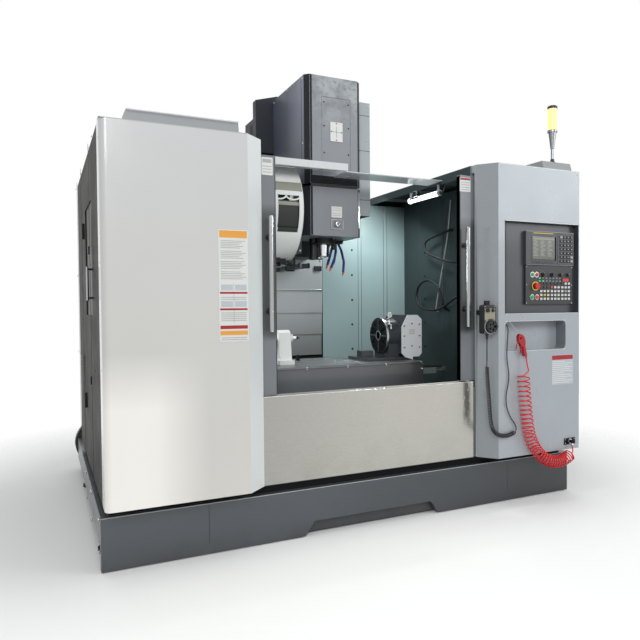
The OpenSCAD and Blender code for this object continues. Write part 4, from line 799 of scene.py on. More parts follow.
# In metres
CORD_DIAMETER = 0.007
CURL_RADIUS = 0.0105
HOSE_DIAMETER = 0.008
HOSE_COIL_RADIUS = 0.0375
CURL_TURNS = 58
HOSE_TURNS = 34


def make_cord(name, top, coil, tail, tail_steps, diameter, material, sides, nodes):
    """A hanging cord: a plain start, its coil and a plain end. It stands for the given CAD nodes."""
    points = smooth_route(top[:-1] + [coil[0]], 8)[:-1] + coil
    points += smooth_route([coil[-1]] + tail[1:], tail_steps)[1:]
    cord = curve(name, points, diameter / 2, material, "machine", sides)
    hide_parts(*nodes)


def make_cords():
    curl = helix(PENDANT_CURL, CURL_RADIUS, CURL_TURNS, 18)
    make_cord("pendant_cord", PENDANT_TOP, curl, PENDANT_BACK, 5, CORD_DIAMETER, "cord_gloss", 3,
              ("pendant_cord_ends", "pendant_cord_curl"))
    # Wider turns at the top, closer ones along the bow
    coil = helix(HOSE_COIL, HOSE_COIL_RADIUS, HOSE_TURNS, 24, lambda t: 1.35 * t - 0.35 * t * t)
    make_cord("air_hose", HOSE_TOP, coil, HOSE_TAIL, 8, HOSE_DIAMETER, "hose", 4,
              ("air_hose_end", "air_hose_curl"))


make_cords()


# Floor and light

AMBIENT = (0.5, 0.52, 0.54, 1)
# Where the floor starts to fade and where it is gone, in metres from the middle
FADE = (2.2, 3.6)


def make_floor():
    """A pale floor that thins out to the white backdrop far from the object."""
    bm = bmesh.new()
    bmesh.ops.create_grid(bm, x_segments=2, y_segments=2, size=20)
    mesh = bpy.data.meshes.new("floor")
    bm.to_mesh(mesh)
    bm.free()
    floor = show(bpy.data.objects.new("floor", mesh))
    shader = Shader("floor_paint", "#f4f4f2", 0.7).mottle(0.6, 0.06, dark=0.97)
    far = shader.node("ShaderNodeVectorMath", operation="LENGTH")
    shader.link(shader.coord, far.inputs[0])
    shader.link(shader.remap(far.outputs["Value"], *FADE, 1, 0), shader.bsdf.inputs["Alpha"])
    mesh.materials.append(shader.mat)


def make_world():
    """White for the camera, for reflections and through glass; a softer light for the rest."""
    world = bpy.data.worlds.new("world")
    bpy.context.scene.world = world
    world.use_nodes = True
    tree = world.node_tree
    path = tree.nodes.new("ShaderNodeLightPath")
    seen = path.outputs["Is Camera Ray"]
    for kind in ("Is Glossy Ray", "Is Transmission Ray"):
        either = tree.nodes.new("ShaderNodeMath")
        either.operation = "MAXIMUM"
        tree.links.new(seen, either.inputs[0])
        tree.links.new(path.outputs[kind], either.inputs[1])
        seen = either.outputs[0]
    mix = tree.nodes.new("ShaderNodeMix")
    mix.data_type = "RGBA"
    mix.inputs[MIX_A].default_value = AMBIENT
    mix.inputs[MIX_B].default_value = (1, 1, 1, 1)
    tree.links.new(seen, mix.inputs[0])
    tree.links.new(mix.outputs[MIX_RESULT], tree.nodes["Background"].inputs["Color"])


def area(name, place, aim, size, power, color=(1, 1, 1)):
    """A rectangular lamp, in metres and watts."""
    data = bpy.data.lights.new(name, "AREA")
    data.shape = "RECTANGLE"
    data.size, data.size_y = size
    data.energy = power
    data.color = color
    lamp = show(bpy.data.objects.new(name, data))
    place, aim = Vector(place), Vector(aim)
    lamp.matrix_world = Matrix.Translation(place) @ (aim - place).to_track_quat("-Z", "Y").to_matrix().to_4x4()


def make_lights():
    area("key", (-2.4, -6.4, 4.4), (0, -0.6, 1.2), (3.2, 2.4), 190, (1, 0.985, 0.96))
    area("fill", (4.6, -4.6, 3.4), (0, -0.4, 1.2), (3, 2.4), 95, (0.94, 0.97, 1))
    area("top", (0, -0.4, 5.4), (0, -0.3, 0), (4, 3), 95)
    area("inside", (0.72, -0.12, 2.12), (0.2, 0.35, 1.2), (0.12, 0.5), 9, (0.93, 1, 0.99))
    area("inside_left", (-1.1, -0.6, 1.7), (0.2, 0.35, 1.3), (0.4, 0.4), 11, (0.95, 1, 0.99))


make_floor()
make_world()
make_lights()


# Colours of single faces of the CAD pieces

bpy.context.view_layer.update()


def repaint(node, material, test):
    """Another material for faces of a node; the test gets a face's centre in millimetres and its normal."""
    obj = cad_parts[node]
    mesh = obj.data
    turn = obj.matrix_world.to_3x3()
    mesh.materials.append(MAT[material])
    slot = len(mesh.materials) - 1
    for face in mesh.polygons:
        spot = obj.matrix_world @ face.center
        if test(spot.x * 1000, spot.y * 1000 + FRONT_Y, spot.z * 1000, turn @ face.normal):
            face.material_index = slot


def paint_cabinet_faces():
    def recess(x, d, z):
        return -112 < d < 0 and 890 < x < 1542 and 1262 < z < 1874

    def pocket(x, d, z):
        return -112 < d < -20 and 896 < x < 1424 and 1017 < z < 1219

    cabinet = "right_cabinet"
    repaint(cabinet, "console_grey", lambda x, d, z, n: recess(x, d, z))
    repaint(cabinet, "console_shade", lambda x, d, z, n: recess(x, d, z) and d < -60 and x < 950 and n.x > 0.3)
    # Painted shade on the pocket's top and side walls
    repaint(cabinet, "pocket_grey", lambda x, d, z, n: pocket(x, d, z) and (n.z < -0.5 or n.x < -0.5))
    repaint(cabinet, "cabinet_shade", lambda x, d, z, n: d < 0 and 750 < x < 848 and n.x < -0.4)
    repaint(cabinet, "foot", lambda x, d, z, n: d < -116 and z < 1000)
    repaint(cabinet, "black", lambda x, d, z, n: d < 0 and 740 < x < 790 and 1255 < z < 1330)


def paint_head_faces():
    for node in ("upper_head_cover", "lower_head_cover"):
        repaint(node, "head_shade", lambda x, d, z, n: d < 640 and 0.3 < abs(n.x) < 0.95)
        repaint(node, "head_shade", lambda x, d, z, n: n.x > 0.95 and x > 215)
        repaint(node, "head_slate", lambda x, d, z, n: n.x < -0.9 and d > 620)
    repaint("upper_head_cover", "duct_grey", lambda x, d, z, n: x > 221)
    repaint("coolant_nozzles", "orange", lambda x, d, z, n: (
        z < 1622 and (x < 100 or x > 180 and z < 1572 or 100 < x < 120 and z < 1600)))


def paint_door_faces():
    for node in ("left_door", "right_door"):
        repaint(node, "brushed_tube", lambda x, d, z, n: d < 6)
        repaint(node, "black", lambda x, d, z, n: 6 <= d < 25.8)
        repaint(node, "pane", lambda x, d, z, n: abs(n.y) > 0.9 and 36 < d < 50 and 1178 < z < 1902)
    repaint("side_door", "brushed_tube", lambda x, d, z, n: x < -1556)
    repaint("side_door", "black_mat", lambda x, d, z, n: abs(n.x) > 0.9 and 500 < d < 1040 and 1279 < z < 1939)


def paint_other_faces():
    drum_d, drum_z = DRUM
    # Painted highlight: the left guard's chamfer in a lighter copy of its paint
    repaint("left_guard", "rim_white", lambda x, d, z, n: x > -806 and n.x > 0.3 and n.y < -0.3)
    repaint("inner_walls", "cover", lambda x, d, z, n: 1446 < d < 1459 and -262 < x < 286 and n.y < -0.5)
    # Painted shade on the right wall's faces, the roof's undersides and its inner faces
    repaint("inner_walls", "inner_right", lambda x, d, z, n: x > 1060 and n.x < -0.5)
    repaint("roof_panels", "inner_right", lambda x, d, z, n: n.z < -0.5 or x < 760 and n.x < -0.5 and z < 2234)
    repaint("column", "head_dark", lambda x, d, z, n: z > 2400)
    # Painted shadow in the recessed gap above the base
    repaint("base_skirts", "plinth", lambda x, d, z, n: z > 277.5)
    repaint("signal_lamp", "lamp_cone", lambda x, d, z, n: z < 2530)
    repaint("signal_lamp", "black", lambda x, d, z, n: z > 2676)
    repaint("work_light", "duct_grey", lambda x, d, z, n: z > 2140 or not 411 < d < 801)
    repaint("display_unit", "screen_glass", lambda x, d, z, n: (
        1142 < x < 1354 and 1620 < z < 1782 and n.y < -0.5))
    repaint("tool_disc", "white_plastic", lambda x, d, z, n: (
        -492 < x < -440 and math.hypot(d - drum_d, z - drum_z) > 236))
    repaint("rotary_unit", "rotary_pale", lambda x, d, z, n: d < 458.5 and x > 455)
    repaint("tailstock", "black", lambda x, d, z, n: x < -455)
    repaint("electrical_cabinet", "grille", lambda x, d, z, n: d > 2328 and 1300 < z < 1900)
    repaint("coolant_tank", "base_deep", lambda x, d, z, n: n.y < -0.5)


# The head's plates, seams and small parts

def make_head_pieces():
    plate("head_axes_plate", 29.5, HEAD_FACE - 2.2, 2506, 91, 130, "label", 2, "head")
    dots = ((29, 2562, "dot_red"), (29, 2450, "dot_red"), (-8, 2507, "dot_blue"), (67, 2505, "dot_green"))
    for k, (x, z, colour) in enumerate(dots):
        disc(f"axes_dot_{k}", (x, HEAD_FACE - 3.6, z), 5.5, 0.8, colour, "head")
    cross = [(27, 32, 2470, 2542), (-4, 62, 2504, 2508)]
    marks("axes_marks", cross, HEAD_FACE, (3.2, 3.9), "label_grey", 0.0002, "head")
    plate("cover_plate", 27, HEAD_FACE - 2.2, 1964, 80, 76, "label", 2, "head")
    lines = [(-4, 58, z, z + 2.5) for z in (1940, 1952, 1976, 1990)]
    marks("cover_plate_lines", lines, HEAD_FACE, (3.2, 3.9), "label_grey", 0.0002, "head")
    frame_strip("plug_plate_rim", 30, HEAD_FACE - 4, 1880, 92, 68, 5, 1.6, "head_rim", "head", 6)
    plug = ((21, 0), (21, 5), (17, 7), (17, 16), (13, 18), (9, 18), (9, 12), (0.1, 12))
    lathe("plug", (29, HEAD_FACE - 4.1, 1882), plug, "chrome", "head")
    marks("plug_mark", [(31, 38, 1886, 1892)], HEAD_FACE, (21.5, 24), "label_red", 0.0005, "head")
    corners = grid((-7, 67), HEAD_FACE - 4, (1852, 1908))
    screws("plug_screws", corners, 3.5, 2.5, body="head")
    edges = [(-163, -149, 2206, 2870), (-163, -148, 1803, 2129)]
    marks("head_left_edge", edges, HEAD_FACE, (-1, 0.7), "head_shade", body="head")
    holes = grid((-62, 120), HEAD_FACE, (2190, 2360, 2540, 2700))
    screws("access_screws", holes, 5, 3, "foot", "head")
    # A dark joint between the covers, and below it a painted shadow under the header on the head's front
    marks("head_band", [(-163, 187, 2131, 2147)], HEAD_FACE, (-2, 1.5), "black", 0.0008, "head")
    marks("head_shadow_band", [(-163, 187, 2149, 2204)], HEAD_FACE, (0, 0.8), "head_shade", 0.0004, "head")
    corners = ((640, 2850), (640, 2420), (1210, 2850), (1210, 2420), (930, 2860))
    rivets("side_rivets", [(-195.6, d, z) for d, z in corners], 7, 4, "screw", "head", LEFT)
    boxes("side_seam", [(-197, -195.4, 658, 661, 2150, 2868)], "black", 0.0003, "head")
    sheet("edge_strip", rounded(24, 250, 6), (205.2, 599.4, 1988), (1, 1, 0), 1.2, "head_rim", "head")
    seams = [(219.9, 347.6, 699.2, 700.2, z, z + 3) for z in (2080, 2430, 2680)]
    boxes("duct_seams", seams, "head_dark", 0.0002, "head")
    places = grid((236, 332), 699.8, (2000, 2240, 2500, 2750))
    rivets("duct_rivets", places, 5, 3, body="head")
    sleeve = ((28, 0), (30, 4), (30, 120), (34, 124), (34, 146), (22, 150))
    lathe("left_sleeve", (-58, 800, 1800), sleeve, "black", "head", DOWN)
    lathe("right_sleeve", (96, 792, 1800), ((16, 0), (17, 3), (17, 70), (12, 74)), "black", "head", DOWN)
    boxes("head_cable_box", [(118, 200, 845, 905, 1778, 1800)], "head_dark", 0.003, "head")
    air_line = ((90, 860, 1799), (96, 858, 1760), (70, 862, 1730), (48, 856, 1752))
    tube("air_line", air_line, 8, 3, "black", "head")


def make_nozzle_pieces():
    """Socket rims between the links of the coolant hoses, and their clamp nuts under the head."""
    nozzles = (((125, 850, 1795), (108, 850, 1735), (88, 856, 1660), (74, 860, 1612)),
               ((147, 866, 1795), (150, 868, 1720), (132, 868, 1650), (106, 868, 1596)),
               ((170, 884, 1795), (200, 884, 1735), (222, 884, 1650), (214, 884, 1570)))
    bm = bmesh.new()
    for points in nozzles:
        links = resample(spots(points), 0.0125)
        for a, b in zip(links, links[1:]):
            add_rod(bm, a, b - a, 0.0112, 0.0045, 16, 0.0085)
    add_mesh("hose_links", bm, "blue", "head", True)
    for k, ((x, d, _), *_) in enumerate(nozzles):
        rods(f"hose_nut_{k}", [((x, d, 1787), 13, 12, 6)], "brass", "head")


# The magazine: rim, window, pots and change arm

def drum_patch(name, x0, x1, z0, z1, radius, material):
    """A thin curved sheet on the drum's front, between two widths and two heights."""
    bm = bmesh.new()
    d, z = DRUM
    low, high = (math.asin((edge - z) / radius) for edge in (z0, z1))
    section = ((x0, radius), (x1, radius), (x1, radius + 1.4), (x0, radius + 1.4))
    steps = 14
    rows = []
    for k in range(steps + 1):
        a = low + (high - low) * k / steps
        rows.append([bm.verts.new(at(x, d - r * math.cos(a), z + r * math.sin(a))) for x, r in section])
    skin(bm, rows)
    bmesh.ops.recalc_face_normals(bm, faces=bm.faces)
    return add_mesh(name, bm, material, "machine")


def pot_arc(name, x, lean):
    """The rim of a pot in the drum's window: half an oval that follows a cylinder."""
    radius = 327
    points = []
    for j in range(11):
        t = math.pi * (0.05 + 0.09 * j)
        rise = 84 - 36 * math.sin(t)
        d = DRUM[0] - math.sqrt(radius ** 2 - rise ** 2)
        points.append((x + lean * 52 * math.cos(t), d, DRUM[1] + rise))
    tube(name, points, 4, 5.5, "white_plastic")


def make_drum_pieces():
    drum_patch("drum_band", -686, -290, 2054, 2112, 335.2, "drum_olive")
    drum_patch("drum_fill", -460, -310, 2024, 2054, 335.1, "rim_white")
    drum_patch("drum_foot", -452, -318, 1797, 1824, 335.1, "black")
    drum_patch("window_back", -458, -312, 1818, 1992, 322, "black")
    drum_patch("window_bar", -458, -312, 1962, 1986, 323, "drum_olive")
    pot_arc("pot_arc_0", -446, 1)
    pot_arc("pot_arc_1", -352, -1)
    ring("drum_rim_right", (-288, *DRUM), 335, 325, 3, "rim_white", direction=RIGHT)
    ring("drum_rim_left", (-691, *DRUM), 336, 264, 4, "rim_white", direction=RIGHT)
    screws("drum_screws", [(-286, *spot) for spot in around(DRUM, 318, 16)], 5, 3, direction=RIGHT)
    down = -math.pi / 2
    mouths = [((-486, *spot), 30.5, 6, 28, 27) for spot in around(DRUM, 270, 24, down)]
    rods("pot_mouths", mouths, "white_plastic", "tool_disc", LEFT, True)
    pins = [((-412, *spot), 6, 50, 12) for spot in around(DRUM, 296, 24, down + math.pi / 24)]
    rods("pot_pins", pins, "screw", "tool_disc", LEFT, True)
    disc_face = -388
    ring("disc_plate_ring", (disc_face, *DRUM), 276, 238, 2, "rim_white", "tool_disc", LEFT)
    places = [(disc_face, *spot) for spot in around(DRUM, 110, 8)]
    screws("disc_screws", places, 8, 6, "screw", "tool_disc", LEFT)


def make_arm_pieces():
    x, d = ARM
    fingers = [(x + dx, x + dx + 12, d + end, d + end + 26, 1572, 1606)
               for end in (-272, 246) for dx in (-36, 24)]
    boxes("gripper_fingers", fingers, "foot", 0.002, "tool_arm")
    places = [(x + side * dx, d + end * reach, 1600)
              for dx, reach in ((14, 200), (12, 120)) for side in (-1, 1) for end in (-1, 1)]
    screws("arm_screws", places, 6, 5, "foot", "tool_arm", UP)
    lathe("arm_hub", (*ARM, 1574), ((34, 0), (34, 5), (26, 9), (0.1, 9)), "foot", "tool_arm", DOWN)
    brackets = ((-418, -374, 600, 660, 1614, 1666), (-371, -333, 612, 662, 1602, 1662),
                (-445, -415, 620, 690, 1626, 1670))
    for k, size in enumerate(brackets):
        boxes(f"change_bracket_{k}", [size], "foot", 0.003)
    boxes("magazine_foot", [(-470, -300, 640, 700, 1618, 1634), (-440, -410, 650, 690, 1586, 1618),
                            (-380, -356, 650, 690, 1592, 1618)], "foot", 0.003)
    places = grid((-276, -218), 650, (1700, 1790, 2060, 2136))
    screws("drive_screws", places, 7, 6)


# Inside: wall seams, bolts, conduits and the telescopic covers

def make_wall_pieces():
    seams = [(x, x + 3, 700, 2170) for x in (618, 648, 864, 898)]
    marks("back_seams", seams, BACK_WALL, (0, 1.6), "seam", 0.0004)
    marks("back_ribs", [(868, 894, 690, 2170)], BACK_WALL, (0, 6), "inner", 0.003)
    seams = [(RIGHT_WALL - 1.6, RIGHT_WALL, d, d + 3, 620, 2190) for d in (520, 846, 1180)]
    boxes("right_seams", seams, "seam", 0.0004)
    rivets("back_bolts", [(562, BACK_WALL, z) for z in (960, 1166, 1371, 1581, 1792)], 9, 6, "foot")
    places = [(RIGHT_WALL, 1110, z) for z in (980, 1180, 1377, 1567, 1759)]
    rivets("right_bolts", places, 9, 6, "foot", direction=LEFT)
    places = [(-1480, d, z) for d in (300, 700, 1100) for z in (760, 1180, 1567, 1960)]
    rivets("left_bolts", places, 9, 6, "foot", direction=RIGHT)
    tube("conduit_1", (
        (1068, 700, 1905), (1010, 720, 1889), (1010, 960, 1850), (1010, 1010, 1800), (1010, 960, 1740),
        (1010, 700, 1663), (1060, 560, 1640)), 12, 9.5, "rubber", sides=4)
    tube("conduit_2", (
        (1060, 560, 1390), (1010, 593, 1376), (1010, 760, 1306), (1010, 900, 1284), (1010, 1060, 1306),
        (1010, 1140, 1390), (1010, 1090, 1490), (1010, 960, 1522), (1010, 830, 1470), (1014, 776, 1370),
        (1030, 766, 1310), (1068, 764, 1282)), 12, 9.5, "rubber", sides=4)
    rod = ((1060, 717, 2133), (1045, 745, 1836), (1045, 890, 1340), (1052, 908, 1280), (1072, 912, 1270))
    tube("wall_rod", rod, 8, 5.5, "label_grey")
    rod = ((1062, 760, 2080), (1045, 814, 1709), (1045, 760, 1330), (1054, 756, 1285), (1072, 755, 1272))
    tube("wall_rod_2", rod, 8, 3.2, "cable")
    boxes("clamp_body", [(728, 764, 660, 780, 2120, 2134), (735, 757, 690, 750, 2151, 2178)], "chrome", 0.003)
    boxes("rail_shade", [(742, 1060, 100, 380, 2172, 2176)], "seam", 0.001)


def make_cover_pieces():
    x0, x1 = -259, 283
    for body, level, z in (("machine", 1, 1118), ("z_cover_low", 2, 1289), ("z_cover_mid", 3, 1480)):
        face = 1462.3 - level * 7.3
        marks(f"cover_lip_{level}", [(x0, x1, z - 5, z - 1)], face, (0, 2.2), "cover_edge", 0.0006, body)
        marks(f"cover_gap_{level}", [(x0, x1, z - 13, z - 7)], face, (-0.4, 0.6), "seam", body=body)
    marks("cover_lip_top", [(x0, x1, 1452, 1456)], 1433, (0, 2), "cover_edge", 0.0006, "head")
    boxes("cover_box", [(213, 275, 1418, 1432, 1610, 1650)], "black", 0.003, "head")
    screws("cover_screws", [(x, 1432.8, 1690) for x in (-240, -80, 100, 264)], 5, 3, body="head")


# Table, rotary unit and tailstock

def make_table_pieces():
    x0, x1 = -648, 548
    guard = 326
    places = [(x, guard, 934) for x in (-560, -307, -23, 260, 540)] + [(541, guard, 891)]
    screws("guard_screws", places, 8, 6, "chrome", "table")
    marks("guard_edge", [(x0, x1, 941, 943)], guard, (0, 0.8), "seam", 0.0005, "table")
    marks("guard_lip_edge", [(x0, x1, 700.5, 705.5)], 315, (0, 2.5), "cover_edge", 0.0006, "table")
    # Bright edges along the T-slots
    lines = [(x0, x1, d + edge, d + edge + 1.6, 942.9, 943.5)
             for edge in (-23, 21.4) for d in range(410, 851, 110)]
    boxes("slot_lines", lines, "cover_edge", 0.0002, "table")
    for k, (x, d) in enumerate(((-452, 520), (-452, 740), (-292, 520), (-292, 740))):
        # A washer, a nut and a stud
        bars = [((x, d, 968), 17, 4, 24), ((x, d, 972), 13.5, 16, 6), ((x, d, 988), 8, 18, 16)]
        bevel(rods(f"tail_clamp_{k}", bars, "foot", "table"), 0.0008)
    center = ((22, 0), (22, 10), (17, 12), (17, 60), (0.4, 92))
    lathe("live_center", (-336, *ROTARY), center, "chrome", "table", RIGHT)
    ring("quill_ring", (-330, *ROTARY), 44, 36, 4, "cover_edge", "table", RIGHT)
    arm = [(572, 1016, 726, 826, 818, 826), (984, 1016, 726, 826, 826, 846)]
    boxes("conduit_arm", arm, "tray", 0.002, "saddle")
    angle = [(574, 759, 470, 474, 834, 876), (574, 759, 474, 530, 834, 838)]
    boxes("side_sheet", angle, "tray", 0.0015, "saddle")


def make_faceplate_pieces():
    body = "rotary_faceplate"
    face = 352
    d, z = ROTARY
    screws("face_screws", [(face, *spot) for spot in around(ROTARY, 92, 8, 0.2)], 8, 7, "foot", body, LEFT)
    ring("face_ring", (face, *ROTARY), 118, 114, 0.8, "motor", body, LEFT)
    ring("face_ring_2", (face, *ROTARY), 34, 28, 1.2, "cover_edge", body, LEFT)
    ring("face_edge", (371, *ROTARY), 125.6, 124.8, 16, "cover_edge", body, LEFT)
    widths = (face - 1, face + 0.4)
    slots = [(*widths, d + start, d + start + 82, z - 3, z + 3) for start in (-116, 34)]
    slots += [(*widths, d - 3, d + 3, z + start, z + start + 82) for start in (-116, 34)]
    boxes("face_slots", slots, "cast", 0.0004, body)


def make_rotary_pieces():
    face = 450
    edge = ((478, 1030), (478, 1110), (478, 1180), (540, 1196),
            (602, 1190), (602, 1110), (602, 1030), (540, 1040))
    screws("rotary_plate_screws", [(x, face, z) for x, z in edge], 5, 3.5, "foot", "table")
    plate("rotary_sign", 540, face, 1140, 56, 44, "label", 2, "table", 0.8)
    lines = [(518, 562, z, z + 4) for z in (1126, 1138, 1150)]
    marks("rotary_sign_mark", lines, face, (0.6, 1.2), "label_grey", 0.0002, "table")
    bm = bmesh.new()
    add_turned(bm, (394, 520, 1256), FRONT, ((19, 0), (19, 16), (17, 18), (17, 15), (0.1, 15)), 32)
    bevel(add_mesh("gauge_body", bm, "chrome", "table"), 0.0004)
    disc("gauge_face", (394, 504.6, 1256), 16.5, 0.5, "label", "table")
    boxes("gauge_needle", [(393, 395, 502.8, 503.6, 1254, 1267)], "black", 0.0002, "table")
    pipe = ((394, 527, 1238), (394, 530, 1222), (396, 536, 1206), (404, 560, 1196))
    tube("gauge_pipe", pipe, 8, 5, "chrome", "table", 4)
    lathe("gauge_nut", (394, 527, 1240), ((8, 0), (8, 9), (5, 12)), body="table", direction=DOWN)
    valve = ((12, 0), (12, 20), (9, 22), (9, 32), (5, 34))
    lathe("valve_body", (386, 500, 1192), valve, body="table", direction=UP)
    lathe("valve_nut", (398, 496, 1160), ((9, 0), (9, 14), (6, 16), (6, 32)), body="table", direction=UP)
    x = 564
    for k, (d, swing) in enumerate(((768, 0), (790, 16), (814, 8), (838, 26))):
        points = ((x, d, 1062), (x, d, 1030), (568, d, 990), (592 + swing, d - 4, 940),
                  (680 + swing, d - 12, 892), (770 + swing / 2, d - 18, 864), (880, d - 22, 856),
                  (1000, d - 26, 850))
        conduit = corrugated(f"rotary_conduit_{k}", points, 7.5, "rubber", 5)
        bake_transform(conduit)
        gland = ((12, 0), (12, 9), (10, 11), (10, 18), (8.5, 20))
        lathe(f"conduit_gland_{k}", (x, d, 1064), gland, "chrome", "table", DOWN)


# Doors

def make_door_pieces():
    cap = ((14, 0), (14, 2), (12.4, 5), (8, 6.4), (0.1, 6.6))
    for body, pick, side, x_handle in (("left_door", max, 1, -652), ("right_door", min, -1, 676)):
        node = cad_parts[body]
        widths = [(node.matrix_world @ v.co).x * 1000 for v in node.data.vertices]
        edge = pick(widths)
        middle = (min(widths) + max(widths)) / 2
        frame_strip(f"{body}_seal", middle, DOOR_FACE + 10, 1540, 384, 724, 9, 4, "rubber", body, 14)
        boxes(f"{body}_lip", [(*sorted((edge, edge - side * 5)), 25, 61, 832, 2160)], "black", 0.001, body)
        for z, direction in ((1190, DOWN), (1820, UP)):
            lathe(f"{body}_cap_{z}", (x_handle, -20, z), cap, "brushed_tube", body, direction)
        for z in (1295, 1715):
            screws(f"{body}_stand_{z}", [(x_handle, -34, z)], 6, 2.6, "screw", body)
    plate("left_door_plate", -656, DOOR_FACE, 2104, 66, 98, "label", 4, "left_door")
    lines = [(-682, -630, z, z + 4) for z in (2070, 2086, 2102)] + [(-682, -630, 2124, 2144)]
    marks("left_door_plate_marks", lines, DOOR_FACE, (1, 1.8), "label_grey", body="left_door")
    plate("right_door_plate", 687, DOOR_FACE, 2105, 84, 92, "label", 4, "right_door")
    band = [(648, 726, 2134, 2148)]
    marks("right_door_plate_band", band, DOOR_FACE, (1, 1.8), "label_red", body="right_door")
    lines = [(654, 720, z, z + 4) for z in (2070, 2086, 2102, 2116)]
    marks("right_door_plate_marks", lines, DOOR_FACE, (1, 1.8), "label_grey", body="right_door")


# Left guard: pale warning plate with bare fields

def make_left_plate():
    x0, x1, z0, z1 = -966, -807, 1143, 1729
    middle = (x0 + x1) / 2
    plate("left_plate", middle, LEFT_FACE, (z0 + z1) / 2, x1 - x0, z1 - z0, "label", 6)

    def printed(name, spans, material, round_by=0.0003):
        marks(f"left_plate_{name}", spans, LEFT_FACE, (1.1, 1.9), material, round_by)

    printed("orange", [(x0 + 6, x1 - 6, z, top) for z, top in ((1687, 1724), (1178, 1200))], "label_orange")
    printed("red", [(x0 + 6, x1 - 6, z, z + h) for z, h in ((1394, 10), (1308, 10), (1210, 18))], "label_red")
    # Lines of uneven length, with a gap after each fifth
    lines = [(x0 + 12, x1 - 12 - z * 7 % 40, z, z + 3) for z in range(1462, 1680, 9) if z // 9 % 6]
    rows = (1252, 1262, 1272, 1282, 1292, 1364, 1374, 1152, 1162)
    printed("lines", lines + [(x0 + 12, x1 - 12, z, z + 3.5) for z in rows], "label_grey", 0.0002)
    printed("fields", [(x, x + 62, z, z + 30) for x in (x0 + 12, x0 + 86) for z in (1412, 1326)], "plate_tone")
    printed("split", [(middle - 1, middle + 1, 1240, 1452)], "label_grey", 0.0002)
    corners = grid((x0 + 6, x1 - 6), LEFT_FACE - 1, (z0 + 6, z1 - 6))
    rivets("left_plate_rivets", corners, 3, 2)


def make_left_pieces():
    side = LEFT_SIDE
    seams = [(-1529, -806, LEFT_FACE - 0.4, LEFT_FACE + 1, 2236, 2239.6), (-1536, -803, -92, -10, 2239, 2241)]
    boxes("left_guard_seam", seams, "label_grey", 0.0003)
    seams = [(side - 0.9, side + 1, d, d + 4, 340, 2226) for d in (422, 1128, 1620)]
    boxes("side_seams", seams, "black", 0.0003)
    boxes("side_latch", [(side - 8, side, 424, 440, z, z + 46) for z in (900, 1620)], "foot", 0.002)
    places = [(side, d, z) for d in (150, 400, 1160, 1600, 1780) for z in (360, 1000, 1560, 2200)]
    rivets("side_screws", places, 6, 1.6, "foot", direction=LEFT)
    slats = [(side - 3, side, 1250, 1500, z, z + 8) for z in range(700, 1008, 22)]
    boxes("side_louvres", slats, "black", 0.002)
    places = [(side - 2, d, z) for d in (80, 611, 649, 1100) for z in (83, 250)]
    rivets("skirt_screws", places, 9, 6, direction=LEFT)


# Header, roof, work light and lamp

def make_top_pieces():
    boxes("header_edge", [(-744, 12, 368.8, 370.4, 2199, 2203)], "label_grey", 0.0004)
    boxes("roof_hood_edge", [(-1388, -802, 64, 66, 2338, 2342.6)], "rim_white", 0.0006)
    # A painted highlight along the cabinet's top lip
    marks("cabinet_top_highlight", [(850, 1540, 2229, 2233)], CABINET_FACE, (-1, 0.6), "rim_white", 0.0004)
    places = [(x, 1240, z) for x in (-176, -60, 60, 200, 340) for z in (2500, 2894) if x > -100 or z < 2800]
    rivets("hood_screws", places, 8, 5)
    seams = [(-186, 210, 1500, 1504, 2680, 2881.2), (-189, -187, 1500, 1504, 2690, 2880)]
    boxes("hood_seams", seams, "black", 0.0003)
    slats = [(x, x + 3, d, d + 8, 2720, 2840) for d in range(1600, 1864, 22) for x in (-191, 212)]
    boxes("hood_louvres", slats, "black", 0.002)


def make_light_pieces():
    boxes("light_clamp", [(731, 763, 690, 740, 2137, 2178)], "chrome", 0.003)
    screws("light_screws", [(738, 690, 2160), (756, 690, 2160)], 5, 3, "foot")
    knob = ((12, 0), (12, 5), (9, 8), (9, 20), (5, 24), (0.1, 24))
    lathe("light_knob", (747, 398, 2117), knob, "black")
    cable = ((747, 375, 2117), (752, 366, 2128), (766, 368, 2160), (780, 384, 2192))
    tube("light_cable", cable, 8, 3.5, "cable")
    foot = ((24, 0), (24, 4), (15, 12), (13, 26), (10.6, 30))
    roof = 2305
    lathe("lamp_foot", (*LAMP, roof), foot, "black", direction=UP)
    for z in (2517, 2529, 2679):
        ring(f"lamp_ring_{z}", (*LAMP, z), 33, 30, 3, "black", direction=UP)
    x, d = LAMP
    places = [(x + 24 * math.cos(a), d + 24 * math.sin(a), roof) for a in (0.8, 2.4, 3.9, 5.5)]
    screws("lamp_screws", places, 3.4, 2.6, direction=UP)


# Right cabinet: display, keys, hand wheel box, pocket and plates

